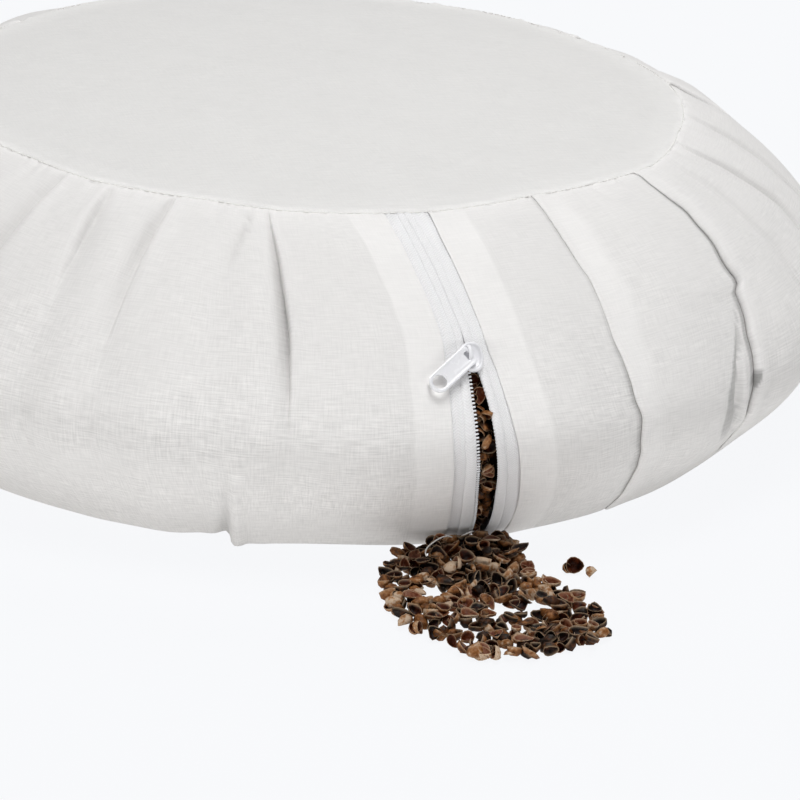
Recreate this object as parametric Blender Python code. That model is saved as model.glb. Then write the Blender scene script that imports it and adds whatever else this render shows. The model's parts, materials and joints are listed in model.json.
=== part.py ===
"""A zafu: a round, pleated meditation cushion filled with buckwheat hulls, its side zip half open.

The cushion stands on its flat bottom panel. The origin is the middle of that panel, +Z is up and
the zip faces -Y. Sizes are in millimetres until a mesh is made, and angles are in degrees round
from the zip's meridian, growing towards +X. "down" is the distance along the side band from the top
seam, and "lift" is the distance out of its skin.
"""

import math
from collections import namedtuple

import bmesh
import bpy
from mathutils import Matrix, Vector

MM = 0.001
GAP = 0.3  # between two pieces that touch

# The filled shape
WIDEST_RADIUS = 180.0
WIDEST_HEIGHT = 45.7
SEAM_RADIUS = 122.4
SEAM_HEIGHT = 99.0
FOOT_RADIUS = 144.6  # where the band meets the floor
UPPER_POWER = 1.54  # 1 is an ellipse's quarter and 2 a straight slope
FOOT_POWER = 1.7
CROWN = 5.0  # rise of the top panel
PUFF_PER_DEGREE = 0.11  # swell of the band between two folds
ARC_STEPS = 60
OUTLINE_STEP = 2.0
SOFTEN_PASSES = 40  # rounds the outline at its widest
SMOOTH_BELOW = 35.0  # angle between two faces that are shaded as one round surface

# The round panels
PANEL = 1.5
PANEL_RIM = 1.2  # the band's edge that stands round a panel
PANEL_RINGS = (1.0, 0.72, 0.4)  # shares of the panel's radius
PANEL_SIDES = 72
BOTTOM_RADIUS = 120.9

# The zip
TAPE = 1.0
CHANNEL = 1.6  # depth of the trough between the band's folded edges
POCKET = 9.0  # depth of the open gap
FOLD_FROM_CENTRE = 6.2
FOLD_WIDENS = 1.35  # times the gap's half width
COIL_WIDTH = 2.3
COIL_HEIGHT = 0.8
MESHED = 0.25  # a closed coil's edge from the zip's centre line
TOOTH = 0.5
TOOTH_PITCH = 1.15
TEETH_END = 128.0
SLIDER_DOWN = 51.5
ZIP_ENDS = (2.5, 150.0)

# The slider, in its own frame: x across, y up the zip, z out
SLIDER_LENGTH = 8.4
SLIDER_WIDTH = 6.0
SLIDER_PLATE = 1.1
SLIDER_ROUND = 0.7
SLIDER_LIFT = 1.0
BRIDGE_MIDDLE = 1.2
BRIDGE_SPAN = 5.3
BRIDGE_RISE = 2.4
BRIDGE_SECTION = (1.0, 0.7)

# The pull
PULL_LENGTH = 18.5
PULL_WIDTH = 6.6
PULL_THICK = 1.0
PULL_HEIGHT = 2.0  # its middle above the slider's underside
PULL_EYE = 2.4
PULL_HOLE = 2.2
PULL_BEVEL = 0.2
PULL_TURN = 218.0
PULL_TILT = 3.0
PULL_EYE_PLACE = (-1.45, -0.67)

# The hulls
HULL_LENGTH = 6.0
HULL_WIDTH = 4.2
HULL_WALL = 0.5
FILLING_SUNK = 2.6  # the filling's surface below the band's
FILLING_CLEAR = 0.9
FILLING_LUMP = 2.2
HEAP_CENTRE = (0.0, -190.0)
HEAP_CREST = 6.5
HEAP_CREST_PLACE = (5.0, -160.0)
HEAP_CREST_REACH = 46.0
HEAP_LAYER = 1.6  # thinnest that the hulls lie, between two lumps
HEAP_LUMP = 2.0
HEAP_RIM = 1.0
HEAP_CLEAR = 1.1  # under the cushion's overhang
HEAP_SIDES = 66
HEAP_SHARES = (0.09, 0.2, 0.31, 0.42, 0.53, 0.64, 0.75, 0.85, 0.94, 1.0)
HULL_SPACING = 5.4

# The band's columns between two folds, in degrees
FOLD_SPAN = 7.0
COLUMN_SPACING = 6.0

# The band's rows, from the top seam to the bottom one
ROWS = (0, 2.5, 6, 12, 20, 30, 40, 50, 60, 70, 81, 93, 106, 120, 135, 150)

ZipRow = namedtuple("ZipRow", "down centre gap")  # centre and half width of the gap
ZIP_PATH = (
    ZipRow(0, -9.6, 0.0),
    ZipRow(13, -7.6, 0.0),
    ZipRow(24, -5.8, 0.0),
    ZipRow(35, -3.9, 0.0),
    ZipRow(47, -2.0, 0.0),
    ZipRow(54, -1.4, 0.4),
    ZipRow(60, -1.0, 1.7),
    ZipRow(68, -0.4, 2.4),
    ZipRow(80, 1.4, 3.0),
    ZipRow(94, 4.2, 3.3),
    ZipRow(102, 5.8, 3.3),
    ZipRow(111, 7.9, 3.2),
    ZipRow(120, 9.6, 3.1),
    ZipRow(132, 11.2, 2.7),
    ZipRow(142, 11.8, 1.6),
    ZipRow(150, 12.0, 0.4),
    ZipRow(165, 12.0, 0.0),
)

# A knife pleat's top layer comes from the right and its edge faces left; a gather is a soft trough.
# Its line passes the given angles at the top seam, 45 mm and 90 mm down, and at the foot.
Fold = namedtuple("Fold", "name kind seam at_45 at_90 foot start end depth")
FOLDS = (
    Fold("front_pleat", "knife", 16.7, 16.5, 18.5, 25.0, -6, 138, 1.0),
    Fold("right_wedge", "gather", 27.0, 33.0, 29.6, 33.0, 48, 128, 1.5),
    Fold("right_pleat", "knife", 37.2, 38.6, 33.6, 41.0, -4, 118, 1.5),
    Fold("right_gather", "gather", 46.5, 50.5, 50.0, 52.0, -4, 120, 1.0),
    Fold("side_pleat", "knife", 55.0, 60.5, 62.5, 65.0, -4, 110, 1.1),
    Fold("side_gather", "gather", 70.5, 74.0, 75.0, 76.0, -4, 90, 0.9),
    Fold("pleat_b1", "knife", 86.5, 87.5, 88.5, 90.0, -4, 125, 1.2),
    Fold("gather_b1", "gather", 101.0, 101.5, 102.0, 102.5, -4, 80, 1.0),
    Fold("pleat_b2", "knife", 114.0, 115.5, 117.0, 119.0, -4, 130, 1.0),
    Fold("gather_b2", "gather", 133.5, 134.5, 135.5, 137.0, -4, 120, 1.2),
    Fold("pleat_b3", "knife", 152.0, 152.5, 154.0, 157.0, -4, 115, 1.2),
    Fold("gather_b3", "gather", 168.0, 168.0, 169.0, 170.0, -4, 70, 0.9),
    Fold("pleat_b4", "knife", 181.0, 182.0, 183.5, 186.0, -4, 130, 1.1),
    Fold("gather_b4", "gather", 201.0, 201.5, 202.5, 204.0, -4, 100, 1.1),
    Fold("pleat_b5", "knife", 220.0, 221.5, 223.0, 226.0, -4, 120, 1.2),
    Fold("gather_b5", "gather", 235.0, 235.0, 235.5, 236.0, -4, 85, 1.0),
    Fold("pleat_b6", "knife", 249.0, 250.0, 251.5, 254.0, -4, 125, 1.0),
    Fold("gather_b6", "gather", 269.0, 269.0, 269.0, 269.0, -4, 90, 0.9),
    Fold("left_gather_4", "gather", 287.5, 286.5, 286.0, 286.0, -4, 75, 1.0),
    Fold("left_gather_3", "gather", 305.2, 304.5, 304.0, 304.0, -4, 60, 1.5),
    Fold("left_gather_2", "gather", 314.2, 315.0, 315.5, 316.0, -4, 40, 0.9),
    Fold("left_gather_1", "gather", 323.2, 322.4, 322.0, 322.0, -4, 55, 1.4),
    Fold("foot_gather", "gather", 330.0, 331.5, 334.8, 335.0, 84, 158, 1.3),
    Fold("left_pleat", "knife", 337.0, 340.8, 341.4, 341.0, -4, 72, 1.2),
)

# How the top seam strays from its circle
SeamRow = namedtuple("SeamRow", "angle out")
SEAM_WAVER = (
    SeamRow(0, 1.0),
    SeamRow(16.7, -3.5),
    SeamRow(28, -2.0),
    SeamRow(42, 1.0),
    SeamRow(60, -1.8),
    SeamRow(86.5, 0.5),
    SeamRow(114, -1.5),
    SeamRow(132, 1.0),
    SeamRow(152, -1.4),
    SeamRow(170, 1.2),
    SeamRow(181, -1.2),
    SeamRow(205, 0.8),
    SeamRow(220, -1.6),
    SeamRow(236, 1.0),
    SeamRow(249, -1.3),
    SeamRow(270, 1.0),
    SeamRow(298, -1.6),
    SeamRow(310, 0.8),
    SeamRow(328, -1.2),
    SeamRow(339, 2.0),
    SeamRow(360, 1.0),
)

# The cross-section of a fold: place in millimetres right of its line, unfolded and folded, and lift
FoldPoint = namedtuple("FoldPoint", "flat folded lift")
SECTIONS = {
    "knife": (
        FoldPoint(-6.0, -6.0, -0.4),
        FoldPoint(-1.8, -0.6, -2.0),
        FoldPoint(-1.0, 6.0, -2.3),
        FoldPoint(-0.2, 6.0, -1.3),
        FoldPoint(0.6, 0.4, -0.6),
        FoldPoint(1.4, -0.6, 0.5),
        FoldPoint(2.2, 1.2, 1.3),
        FoldPoint(9.0, 9.0, 0.6),
    ),
    "gather": (
        FoldPoint(-6.5, -6.5, 0.2),
        FoldPoint(-2.2, -2.2, -0.7),
        FoldPoint(0.0, 0.0, -1.9),
        FoldPoint(1.8, 1.8, 0.4),
        FoldPoint(6.0, 6.0, 0.5),
    ),
}

HeapRow = namedtuple("HeapRow", "angle reach")  # outline of the heap, anticlockwise from +X
HEAP_OUTLINE = (
    HeapRow(0, 29),
    HeapRow(30, 27),
    HeapRow(60, 36),
    HeapRow(90, 43),
    HeapRow(120, 37),
    HeapRow(150, 32),
    HeapRow(180, 30),
    HeapRow(210, 32),
    HeapRow(240, 34),
    HeapRow(270, 38),
    HeapRow(300, 38),
    HeapRow(330, 34),
    HeapRow(360, 29),
)

Bare = namedtuple("Bare", "x y radius")  # where the floor shows through the heap
BARE_SPOTS = (
    Bare(-13.5, -182.0, 4.0),
    Bare(2.0, -197.0, 4.6),
    Bare(13.0, -201.0, 4.0),
    Bare(-13.0, -209.0, 3.2),
)

LooseHull = namedtuple("LooseHull", "name x y turn")
LOOSE_HULLS = (
    LooseHull("loose_hull_1", 30.5, -166.0, 25.0),
    LooseHull("loose_hull_2", 36.0, -167.5, 150.0),
    LooseHull("loose_hull_3", 33.5, -172.0, 80.0),
    LooseHull("loose_hull_4", 37.5, -177.5, 10.0),
)

Finish = namedtuple("Finish", "colour roughness metallic")
FINISHES = {
    "cotton muslin": Finish((0.80, 0.80, 0.78), 0.9, 0.0),
    "zip tape": Finish((0.84, 0.85, 0.87), 0.8, 0.0),
    "nylon coil": Finish((0.88, 0.89, 0.90), 0.4, 0.0),
    "white enamel": Finish((0.86, 0.86, 0.88), 0.25, 0.0),
    "buckwheat hull": Finish((0.10, 0.05, 0.03), 0.6, 0.0),
}


def blend(low, high, value):
    """0 below low, 1 above high and a smooth ramp between."""
    share = min(1.0, max(0.0, (value - low) / (high - low)))
    return share * share * (3 - 2 * share)


def read(rows, value):
    """The second and later columns of a table at a value of its first, along smooth ramps."""
    for before, after in zip(rows, rows[1:]):
        if value <= after[0]:
            break
    share = min(1.0, max(0.0, (value - before[0]) / (after[0] - before[0])))
    return [low + (high - low) * share for low, high in zip(before[1:], after[1:])]


def distances(places):
    """Each (radius, height) with its distance along the outline in front."""
    rows, along = [], 0.0
    for number, place in enumerate(places):
        if number:
            along += math.dist(places[number - 1], place)
        rows.append((along, *place))
    return rows


def softened(places):
    """The outline in even steps, with its corners rounded and its ends kept."""
    rows = distances(places)
    count = round(rows[-1][0] / OUTLINE_STEP)
    even = [read(rows, rows[-1][0] * number / count) for number in range(count + 1)]
    for _ in range(SOFTEN_PASSES):
        inner = [
            [(before + 2 * here + after) / 4 for before, here, after in zip(*three)]
            for three in zip(even, even[1:], even[2:])
        ]
        even = [even[0], *inner, even[-1]]
    return even


def band_outline():
    """Distance down the band, radius and height, from the top seam round to the bottom seam."""
    places = []
    for step in range(ARC_STEPS + 1):
        turn = math.radians(90 - 90 * step / ARC_STEPS)
        radius = SEAM_RADIUS + (WIDEST_RADIUS - SEAM_RADIUS) * max(0.0, math.cos(turn)) ** UPPER_POWER
        height = WIDEST_HEIGHT + (SEAM_HEIGHT - WIDEST_HEIGHT) * math.sin(turn) ** UPPER_POWER
        places.append((radius, height))
    for step in range(1, ARC_STEPS + 1):
        turn = math.radians(90 * step / ARC_STEPS)
        out, up = max(0.0, math.cos(turn)) ** FOOT_POWER, math.sin(turn) ** FOOT_POWER
        places.append((FOOT_RADIUS + (WIDEST_RADIUS - FOOT_RADIUS) * out, WIDEST_HEIGHT * (1 - up)))
    return distances(softened(places) + [(SEAM_RADIUS, 0.0)])


OUTLINE = band_outline()
BAND_LENGTH = OUTLINE[-1][0]


def section(down):
    """Radius and height on the band, and the outward direction there."""
    radius, height = read(OUTLINE, down)
    above = read(OUTLINE, max(0.0, down - 2.0))
    below = read(OUTLINE, min(BAND_LENGTH, down + 2.0))
    along = Vector((below[0] - above[0], below[1] - above[1])).normalized()
    return radius, height, Vector((-along.y, along.x))


def seam_strays(angle):
    return read(SEAM_WAVER, angle % 360)[0]


def skin(angle, down, lift=0.0):
    """A point on the band, or lift out of it; nothing goes below the floor."""
    radius, height, out = section(down)
    radius += out.x * lift + seam_strays(angle) * (1 - blend(0, 45, down))
    turn = math.radians(angle)
    return Vector((radius * math.sin(turn), -radius * math.cos(turn), max(0.0, height + out.y * lift)))


def aside(down, distance):
    """The angle of a point that lies this far round the band from the zip's meridian."""
    return math.degrees(distance / section(down)[0])


def fold_angle(fold, down):
    path = ((0, fold.seam), (45, fold.at_45), (90, fold.at_90), (BAND_LENGTH, fold.foot))
    return read(path, down)[0]


def fold_strength(fold, down):
    """How far the fold stands at this distance down: nothing at the seam itself and past its end."""
    opens = blend(0, 5, down) * blend(fold.start, fold.start + 14, down)
    return opens * (1 - blend(fold.end - 30, fold.end, down))


def fold_columns(fold, down):
    """(angle, lift) of each point across a fold."""
    strength = fold_strength(fold, down)
    line = fold_angle(fold, down)
    columns = []
    for point in SECTIONS[fold.kind]:
        across = point.flat + (point.folded - point.flat) * strength
        columns.append((line + aside(down, across), point.lift * strength * fold.depth))
    return columns


def zip_columns(down):
    """(angle, lift) of each point across the zip's trough and its open gap."""
    centre, gap = read(ZIP_PATH, down)
    fold = FOLD_FROM_CENTRE + FOLD_WIDENS * gap
    sunk = -CHANNEL * blend(0, 2.0, down) * (1 - blend(BAND_LENGTH - 2, BAND_LENGTH, down))
    pocket = sunk - (POCKET - CHANNEL) * blend(0.3, 1.6, gap)
    lip = max(gap, 0.6)
    half = (
        (fold + 5.0, 0.0),
        (fold + 0.5, 0.5 * blend(0, 8, down)),
        (fold, sunk),
        (lip, sunk),
        (lip - 0.3, pocket),
    )
    left = [(aside(down, centre - across), lift) for across, lift in half]
    right = [(aside(down, centre + across), lift) for across, lift in reversed(half)]
    return left + right


def band_columns(down):
    """(angle, lift) of every point round the band at one distance down, once round from the zip."""
    groups = [zip_columns(down)] + [fold_columns(fold, down) for fold in FOLDS]
    groups.append([(angle + 360, lift) for angle, lift in groups[0]])
    counts = [between_folds(number) for number in range(len(groups) - 1)]
    columns = []
    for number, group in enumerate(groups[:-1]):
        columns += group
        start, end = group[-1][0], groups[number + 1][0][0]
        for step in range(1, counts[number] + 1):
            share = step / (counts[number] + 1)
            swell = PUFF_PER_DEGREE * (end - start) * math.sin(math.pi * share)
            swell *= blend(0, 30, down) * (1 - blend(90, 125, down))
            columns.append((start + (end - start) * share, group[-1][1] * (1 - share) + swell))
    return columns


def between_folds(number):
    """How many plain columns stand after the zip or after a fold; the same on every row."""
    seams = [0.0] + [fold.seam for fold in FOLDS] + [360.0]
    return max(1, round((seams[number + 1] - seams[number] - FOLD_SPAN) / COLUMN_SPACING))


def new_object(name, mesh, finish):
    look = bpy.data.materials.get(finish)
    if look is None:
        look = bpy.data.materials.new(finish)
        look.use_nodes = True
        surface = look.node_tree.nodes["Principled BSDF"]
        surface.inputs["Base Color"].default_value = (*FINISHES[finish].colour, 1.0)
        surface.inputs["Roughness"].default_value = FINISHES[finish].roughness
        surface.inputs["Metallic"].default_value = FINISHES[finish].metallic
    mesh.materials.append(look)
    mesh.shade_smooth()
    mesh.set_sharp_from_angle(angle=math.radians(SMOOTH_BELOW))
    piece = bpy.data.objects.new(name, mesh)
    bpy.context.scene.collection.objects.link(piece)
    return piece


def loft(name, rings, finish, middles=None):
    """A closed solid through rings of points, each end closed flat or with a fan to its middle."""
    shape = bmesh.new()
    loops = [[shape.verts.new(point * MM) for point in ring] for ring in rings]
    count = len(rings[0])
    for ring, after in zip(loops, loops[1:]):
        for number in range(count):
            follows = (number + 1) % count
            shape.faces.new((ring[number], ring[follows], after[follows], after[number]))
    for end, loop in enumerate((loops[0], loops[-1])):
        if middles is None:
            shape.faces.new(loop)
        else:
            middle = shape.verts.new(middles[end] * MM)
            for number in range(count):
                shape.faces.new((loop[number], loop[(number + 1) % count], middle))
    bmesh.ops.triangulate(shape, faces=shape.faces)
    bmesh.ops.recalc_face_normals(shape, faces=shape.faces)
    mesh = bpy.data.meshes.new(name)
    shape.to_mesh(mesh)
    shape.free()
    return new_object(name, mesh, finish)


def round_point(angle, radius, height):
    turn = math.radians(angle)
    return Vector((radius * math.sin(turn), -radius * math.cos(turn), height))


def crown_height(share):
    return SEAM_HEIGHT + CROWN * (1 - share * share)


def side_band():
    """The pleated band with its filling: a filled solid with a shallow seat for each panel."""
    rows = [band_columns(down) for down in (*ROWS, BAND_LENGTH)]
    angles = [angle for angle, _ in rows[0]]
    rings = []
    for share in reversed(PANEL_RINGS):
        height = crown_height(share) - PANEL - GAP
        rings.append([round_point(a, share * seat_radius(a), height) for a in angles])
    rings.append([round_point(a, seat_radius(a), SEAM_HEIGHT) for a in angles])
    for down, row in zip((*ROWS, BAND_LENGTH), rows):
        rings.append([skin(angle, down, lift) for angle, lift in row])
    last = [angle for angle, _ in rows[-1]]
    rings.append([round_point(a, BOTTOM_RADIUS + GAP, 0.0) for a in last])
    rings.append([round_point(a, BOTTOM_RADIUS + GAP, PANEL + GAP) for a in last])
    middles = (
        Vector((0, 0, crown_height(0) - PANEL - GAP)),
        Vector((0, 0, PANEL + GAP)),
    )
    return loft("side_band", rings, "cotton muslin", middles)


def seat_radius(angle):
    """Where the top panel's seat ends, inside the top seam."""
    return SEAM_RADIUS + seam_strays(angle) - PANEL_RIM


def top_panel():
    """The round crowned sheet inside the top seam."""
    angles = [360 * number / PANEL_SIDES for number in range(PANEL_SIDES)]
    above = [
        [round_point(a, share * (seat_radius(a) - 2 * GAP), crown_height(share)) for a in angles]
        for share in reversed(PANEL_RINGS)
    ]
    below = [
        [round_point(a, share * (seat_radius(a) - 2 * GAP), crown_height(share) - PANEL) for a in angles]
        for share in PANEL_RINGS
    ]
    middles = (Vector((0, 0, crown_height(0))), Vector((0, 0, crown_height(0) - PANEL)))
    return loft("top_panel", above + below, "cotton muslin", middles)


def bottom_panel():
    """The flat round sheet that the cushion stands on."""
    angles = [360 * number / PANEL_SIDES for number in range(PANEL_SIDES)]
    rings = [[round_point(a, BOTTOM_RADIUS - GAP, height) for a in angles] for height in (PANEL, 0.0)]
    return loft("bottom_panel", rings, "cotton muslin")


def zip_rows(start, end):
    return [start] + [down for down in ROWS if start < down < end] + [end]


def between_rows(down, place):
    """place(down) on the straight run between the band's rows, so that thin pieces keep their gap."""
    rows = (*ROWS, BAND_LENGTH)
    for above, below in zip(rows, rows[1:]):
        if down <= below:
            break
    share = (down - above) / (below - above)
    return place(above).lerp(place(below), share)


def zip_point(side, across, lift):
    """A function of down for a rail that runs beside the zip's centre line.

    across(fold, gap) is its distance from the centre line, for the folded edge and the gap there.
    """

    def place(down):
        centre, gap = read(ZIP_PATH, down)
        fold = FOLD_FROM_CENTRE + FOLD_WIDENS * gap
        return skin(aside(down, centre + side * across(fold, gap)), down, lift)

    return place


def zip_tape(name, side):
    """A flat woven tape from the folded edge of the band to the gap."""

    def inner(fold, gap):
        return max(gap, 0.6) + GAP

    def outer(fold, gap):
        return fold - GAP

    def middle(fold, gap):
        return (inner(fold, gap) + outer(fold, gap)) / 2

    top, bottom = -CHANNEL + GAP + TAPE, -CHANNEL + GAP
    rails = [zip_point(side, across, top) for across in (inner, middle, outer)]
    rails += [zip_point(side, across, bottom) for across in (outer, middle, inner)]
    rings = [
        [between_rows(down, rail) for rail in rails] for down in zip_rows(*ZIP_ENDS)
    ]
    return loft(name, rings, "zip tape")


def zip_coil(name, side):
    """The coil along a tape's inner edge, with its teeth standing into the gap where it is open."""
    base = -CHANNEL + GAP + TAPE + GAP
    opens = SLIDER_DOWN + SLIDER_LENGTH / 2
    closed_rows = zip_rows(ZIP_ENDS[0], opens)
    teeth = int((TEETH_END - opens) / TOOTH_PITCH)
    rings = []
    for down in closed_rows[:-1]:
        rings.append(coil_ring(side, down, base, 0.0))
    for tooth in range(teeth):
        start = opens + tooth * TOOTH_PITCH
        rings.append(coil_ring(side, start, base, 0.0))
        rings.append(coil_ring(side, start + TOOTH_PITCH / 2, base, TOOTH))
    return loft(name, rings, "nylon coil")


def coil_ring(side, down, base, tooth):
    """Three corners of a coil; tooth is how far its inner edge stands into an open gap."""

    def inner(fold, gap):
        return max(gap, MESHED) - tooth * blend(0.4, 1.0, gap)

    def crest(fold, gap):
        return max(gap, MESHED) + COIL_WIDTH / 2

    def outer(fold, gap):
        return max(gap, MESHED) + COIL_WIDTH

    corners = (
        zip_point(side, inner, base + COIL_HEIGHT / 2),
        zip_point(side, crest, base + COIL_HEIGHT),
        zip_point(side, outer, base),
    )
    return [between_rows(down, corner) for corner in corners]


def seat_frame(down, across, lift):
    """A local frame on the band: x round it, y up towards the top seam, z out."""
    angle = aside(down, across)
    here = skin(angle, down, lift)
    along = (skin(angle, down - 3, lift) - skin(angle, down + 3, lift)).normalized()
    round_it = (skin(angle + 1, down, lift) - skin(angle - 1, down, lift)).normalized()
    out = round_it.cross(along).normalized()
    along = out.cross(round_it)
    frame = Matrix((round_it, along, out)).transposed().to_4x4()
    frame.translation = here * MM
    return frame


def plate_ring(length, width, height, sides=20):
    """A rounded plate outline, a little narrower at its lower end."""
    ring = []
    for number in range(sides):
        turn = 2 * math.pi * number / sides
        x, y = math.cos(turn), math.sin(turn)
        squared = (abs(x) ** 3 + abs(y) ** 3) ** (-1 / 3)
        taper = 1 + 0.1 * y
        ring.append(Vector((x * squared * taper * width / 2, y * squared * length / 2, height)))
    return ring


def add_union(piece, other):
    union = piece.modifiers.new("union", "BOOLEAN")
    union.operation = "UNION"
    union.object = other
    hide_helper(other)


def add_cut(piece, cutter):
    cut = piece.modifiers.new("cut", "BOOLEAN")
    cut.operation = "DIFFERENCE"
    cut.object = cutter
    hide_helper(cutter)


def hide_helper(helper):
    helper.hide_render = True
    helper.display_type = "WIRE"


def zip_slider():
    """The slider's plate with the bridge that holds the pull."""
    inset = 2 * SLIDER_ROUND
    rings = [
        plate_ring(SLIDER_LENGTH - inset / 2, SLIDER_WIDTH - inset / 2, 0.0),
        plate_ring(SLIDER_LENGTH, SLIDER_WIDTH, SLIDER_PLATE * 0.45),
        plate_ring(SLIDER_LENGTH - inset, SLIDER_WIDTH - inset, SLIDER_PLATE),
    ]
    plate = loft("zip_slider", rings, "white enamel")
    arch = loft("bridge", bridge_rings(), "white enamel")
    add_union(plate, arch)
    frame = slider_frame()
    for piece in (plate, arch):
        piece.matrix_world = frame
    return plate


def bridge_rings():
    """A flat bar bent into an arch that stands on the plate, over the pull's eye."""
    width, thick = BRIDGE_SECTION
    foot = SLIDER_PLATE - 0.4
    rings = []
    steps = 10
    for step in range(steps + 1):
        turn = math.pi * step / steps
        squared = (abs(math.cos(turn)) ** 3 + math.sin(turn) ** 3) ** (-1 / 3)
        ring = []
        for half, inward in ((-1, 0), (1, 0), (1, thick), (-1, thick)):
            reach = BRIDGE_SPAN / 2 - inward
            rise = BRIDGE_RISE + SLIDER_PLATE - foot - inward
            y = BRIDGE_MIDDLE - math.cos(turn) * squared * reach
            z = foot + math.sin(turn) * squared * rise
            ring.append(Vector((half * width / 2, y, z)))
        rings.append(ring)
    return rings


def slider_frame():
    centre, _ = read(ZIP_PATH, SLIDER_DOWN)
    return seat_frame(SLIDER_DOWN, centre, SLIDER_LIFT)


def capsule_ring(length, width, height, steps=12):
    """A straight-sided outline with round ends; the first end's centre is at x = 0."""
    ring = []
    reach = length - width
    for end, start_turn in ((0.0, 90), (reach, -90)):
        for step in range(steps + 1):
            turn = math.radians(start_turn + 180 * step / steps)
            place = (end + math.cos(turn) * width / 2, math.sin(turn) * width / 2, height)
            ring.append(Vector(place))
    return ring


def zip_pull():
    """The flat tab: an eye round the bridge at one end and a round hole at the other."""
    half = PULL_THICK / 2
    rings = [
        capsule_ring(PULL_LENGTH - 2 * PULL_BEVEL, PULL_WIDTH - 2 * PULL_BEVEL, -half),
        capsule_ring(PULL_LENGTH, PULL_WIDTH, -half + PULL_BEVEL),
        capsule_ring(PULL_LENGTH, PULL_WIDTH, half - PULL_BEVEL),
        capsule_ring(PULL_LENGTH - 2 * PULL_BEVEL, PULL_WIDTH - 2 * PULL_BEVEL, half),
    ]
    pull = loft("zip_pull", rings, "white enamel")
    turned = Matrix.Rotation(math.radians(PULL_TURN), 4, "Z")
    tilted = Matrix.Rotation(math.radians(PULL_TILT), 4, "Y")
    place = Matrix.Translation(Vector((*PULL_EYE_PLACE, PULL_HEIGHT)) * MM)
    frame = slider_frame() @ place @ turned @ tilted
    pull.matrix_world = frame
    far = PULL_LENGTH - PULL_WIDTH
    for name, x, radius in (("eye", 0.0, PULL_EYE), ("hole", far, PULL_HOLE)):
        ring = [
            Vector((x + radius * math.cos(math.radians(a)), radius * math.sin(math.radians(a)), 0))
            for a in range(7, 360, 18)
        ]
        deep = Vector((0, 0, 3 * PULL_THICK))
        cutter = loft(name, [[p - deep for p in ring], [p + deep for p in ring]], "white enamel")
        cutter.matrix_world = frame
        add_cut(pull, cutter)
    return pull


def hull_bump(x, y, phase):
    """Height of hull-sized lumps from 0 to 1: overlapping oval caps on a staggered lattice."""
    best = 0.0
    column = math.floor(x / HULL_SPACING)
    row = math.floor(y / HULL_SPACING)
    for i in range(column - 1, column + 2):
        for j in range(row - 1, row + 2):
            turn = 2.4 * i + 3.7 * j + phase
            middle_x = (i + 0.5 + 0.32 * math.sin(1.7 * turn + j)) * HULL_SPACING
            middle_y = (j + 0.5 + 0.32 * math.cos(2.3 * turn + i)) * HULL_SPACING
            along = (x - middle_x) * math.cos(turn) + (y - middle_y) * math.sin(turn)
            across = (y - middle_y) * math.cos(turn) - (x - middle_x) * math.sin(turn)
            spread = (2 * along / (HULL_LENGTH + 1)) ** 2 + (2 * across / (HULL_WIDTH + 1)) ** 2
            best = max(best, 1 - spread)
    return math.sqrt(best)


def filling_rail(share):
    def across(_, gap):
        return share * (gap - FILLING_CLEAR)

    return across


def filling_in_gap():
    """The hulls behind the open zip: a lumpy core that fills the gap from the slider to the foot."""
    start, end, pitch = 62.0, 131.0, 2.6
    deep = -(POCKET - 2 * FILLING_CLEAR)
    rings = []
    steps = round((end - start) / pitch)
    for step in range(steps + 1):
        down = start + (end - start) * step / steps
        ring = []
        for share, face in ((-1, 1), (-0.4, 1), (0.3, 1), (1, 1), (0.9, 0), (-0.9, 0)):
            lump = FILLING_LUMP * (hull_bump(2.4 * share + 30, down, 0.6) - 1)
            lift = deep if face == 0 else lump - FILLING_SUNK
            ring.append(between_rows(down, zip_point(1, filling_rail(share), lift)))
        rings.append(ring)
    return loft("filling_in_gap", rings, "buckwheat hull")


def overhang(radius):
    """Height of the cushion's underside at a distance from its axis, or a great height past it."""
    lower = [row for row in OUTLINE if row[2] <= WIDEST_HEIGHT]
    if radius >= WIDEST_RADIUS:
        return 1000.0
    rows = sorted((row[1], row[2]) for row in lower)
    return read(rows, radius)[0]


def heap_reach(angle):
    """How far the heap runs from its centre, and never further under the cushion than it has room."""
    reach = read(HEAP_OUTLINE, angle)[0] + 1.4 * math.sin(math.radians(7 * angle))
    while overhang(math.hypot(*heap_point(angle, reach))) < HEAP_RIM + HEAP_CLEAR:
        reach -= 0.5
    return reach


def heap_point(angle, reach):
    turn = math.radians(angle)
    return HEAP_CENTRE[0] + reach * math.cos(turn), HEAP_CENTRE[1] + reach * math.sin(turn)


def heap_height(x, y, share):
    """Height of the spilled hulls over a point of the floor; share is 1 at the heap's rim."""
    crest = HEAP_CREST * (1 - blend(0.0, HEAP_CREST_REACH, math.dist((x, y), HEAP_CREST_PLACE)))
    height = crest + HEAP_LAYER + HEAP_LUMP * hull_bump(x, y, 0.0)
    height = HEAP_RIM + (height - HEAP_RIM) * (1 - blend(0.8, 1.0, share))
    return min(height, overhang(math.hypot(x, y)) - HEAP_CLEAR)


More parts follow.
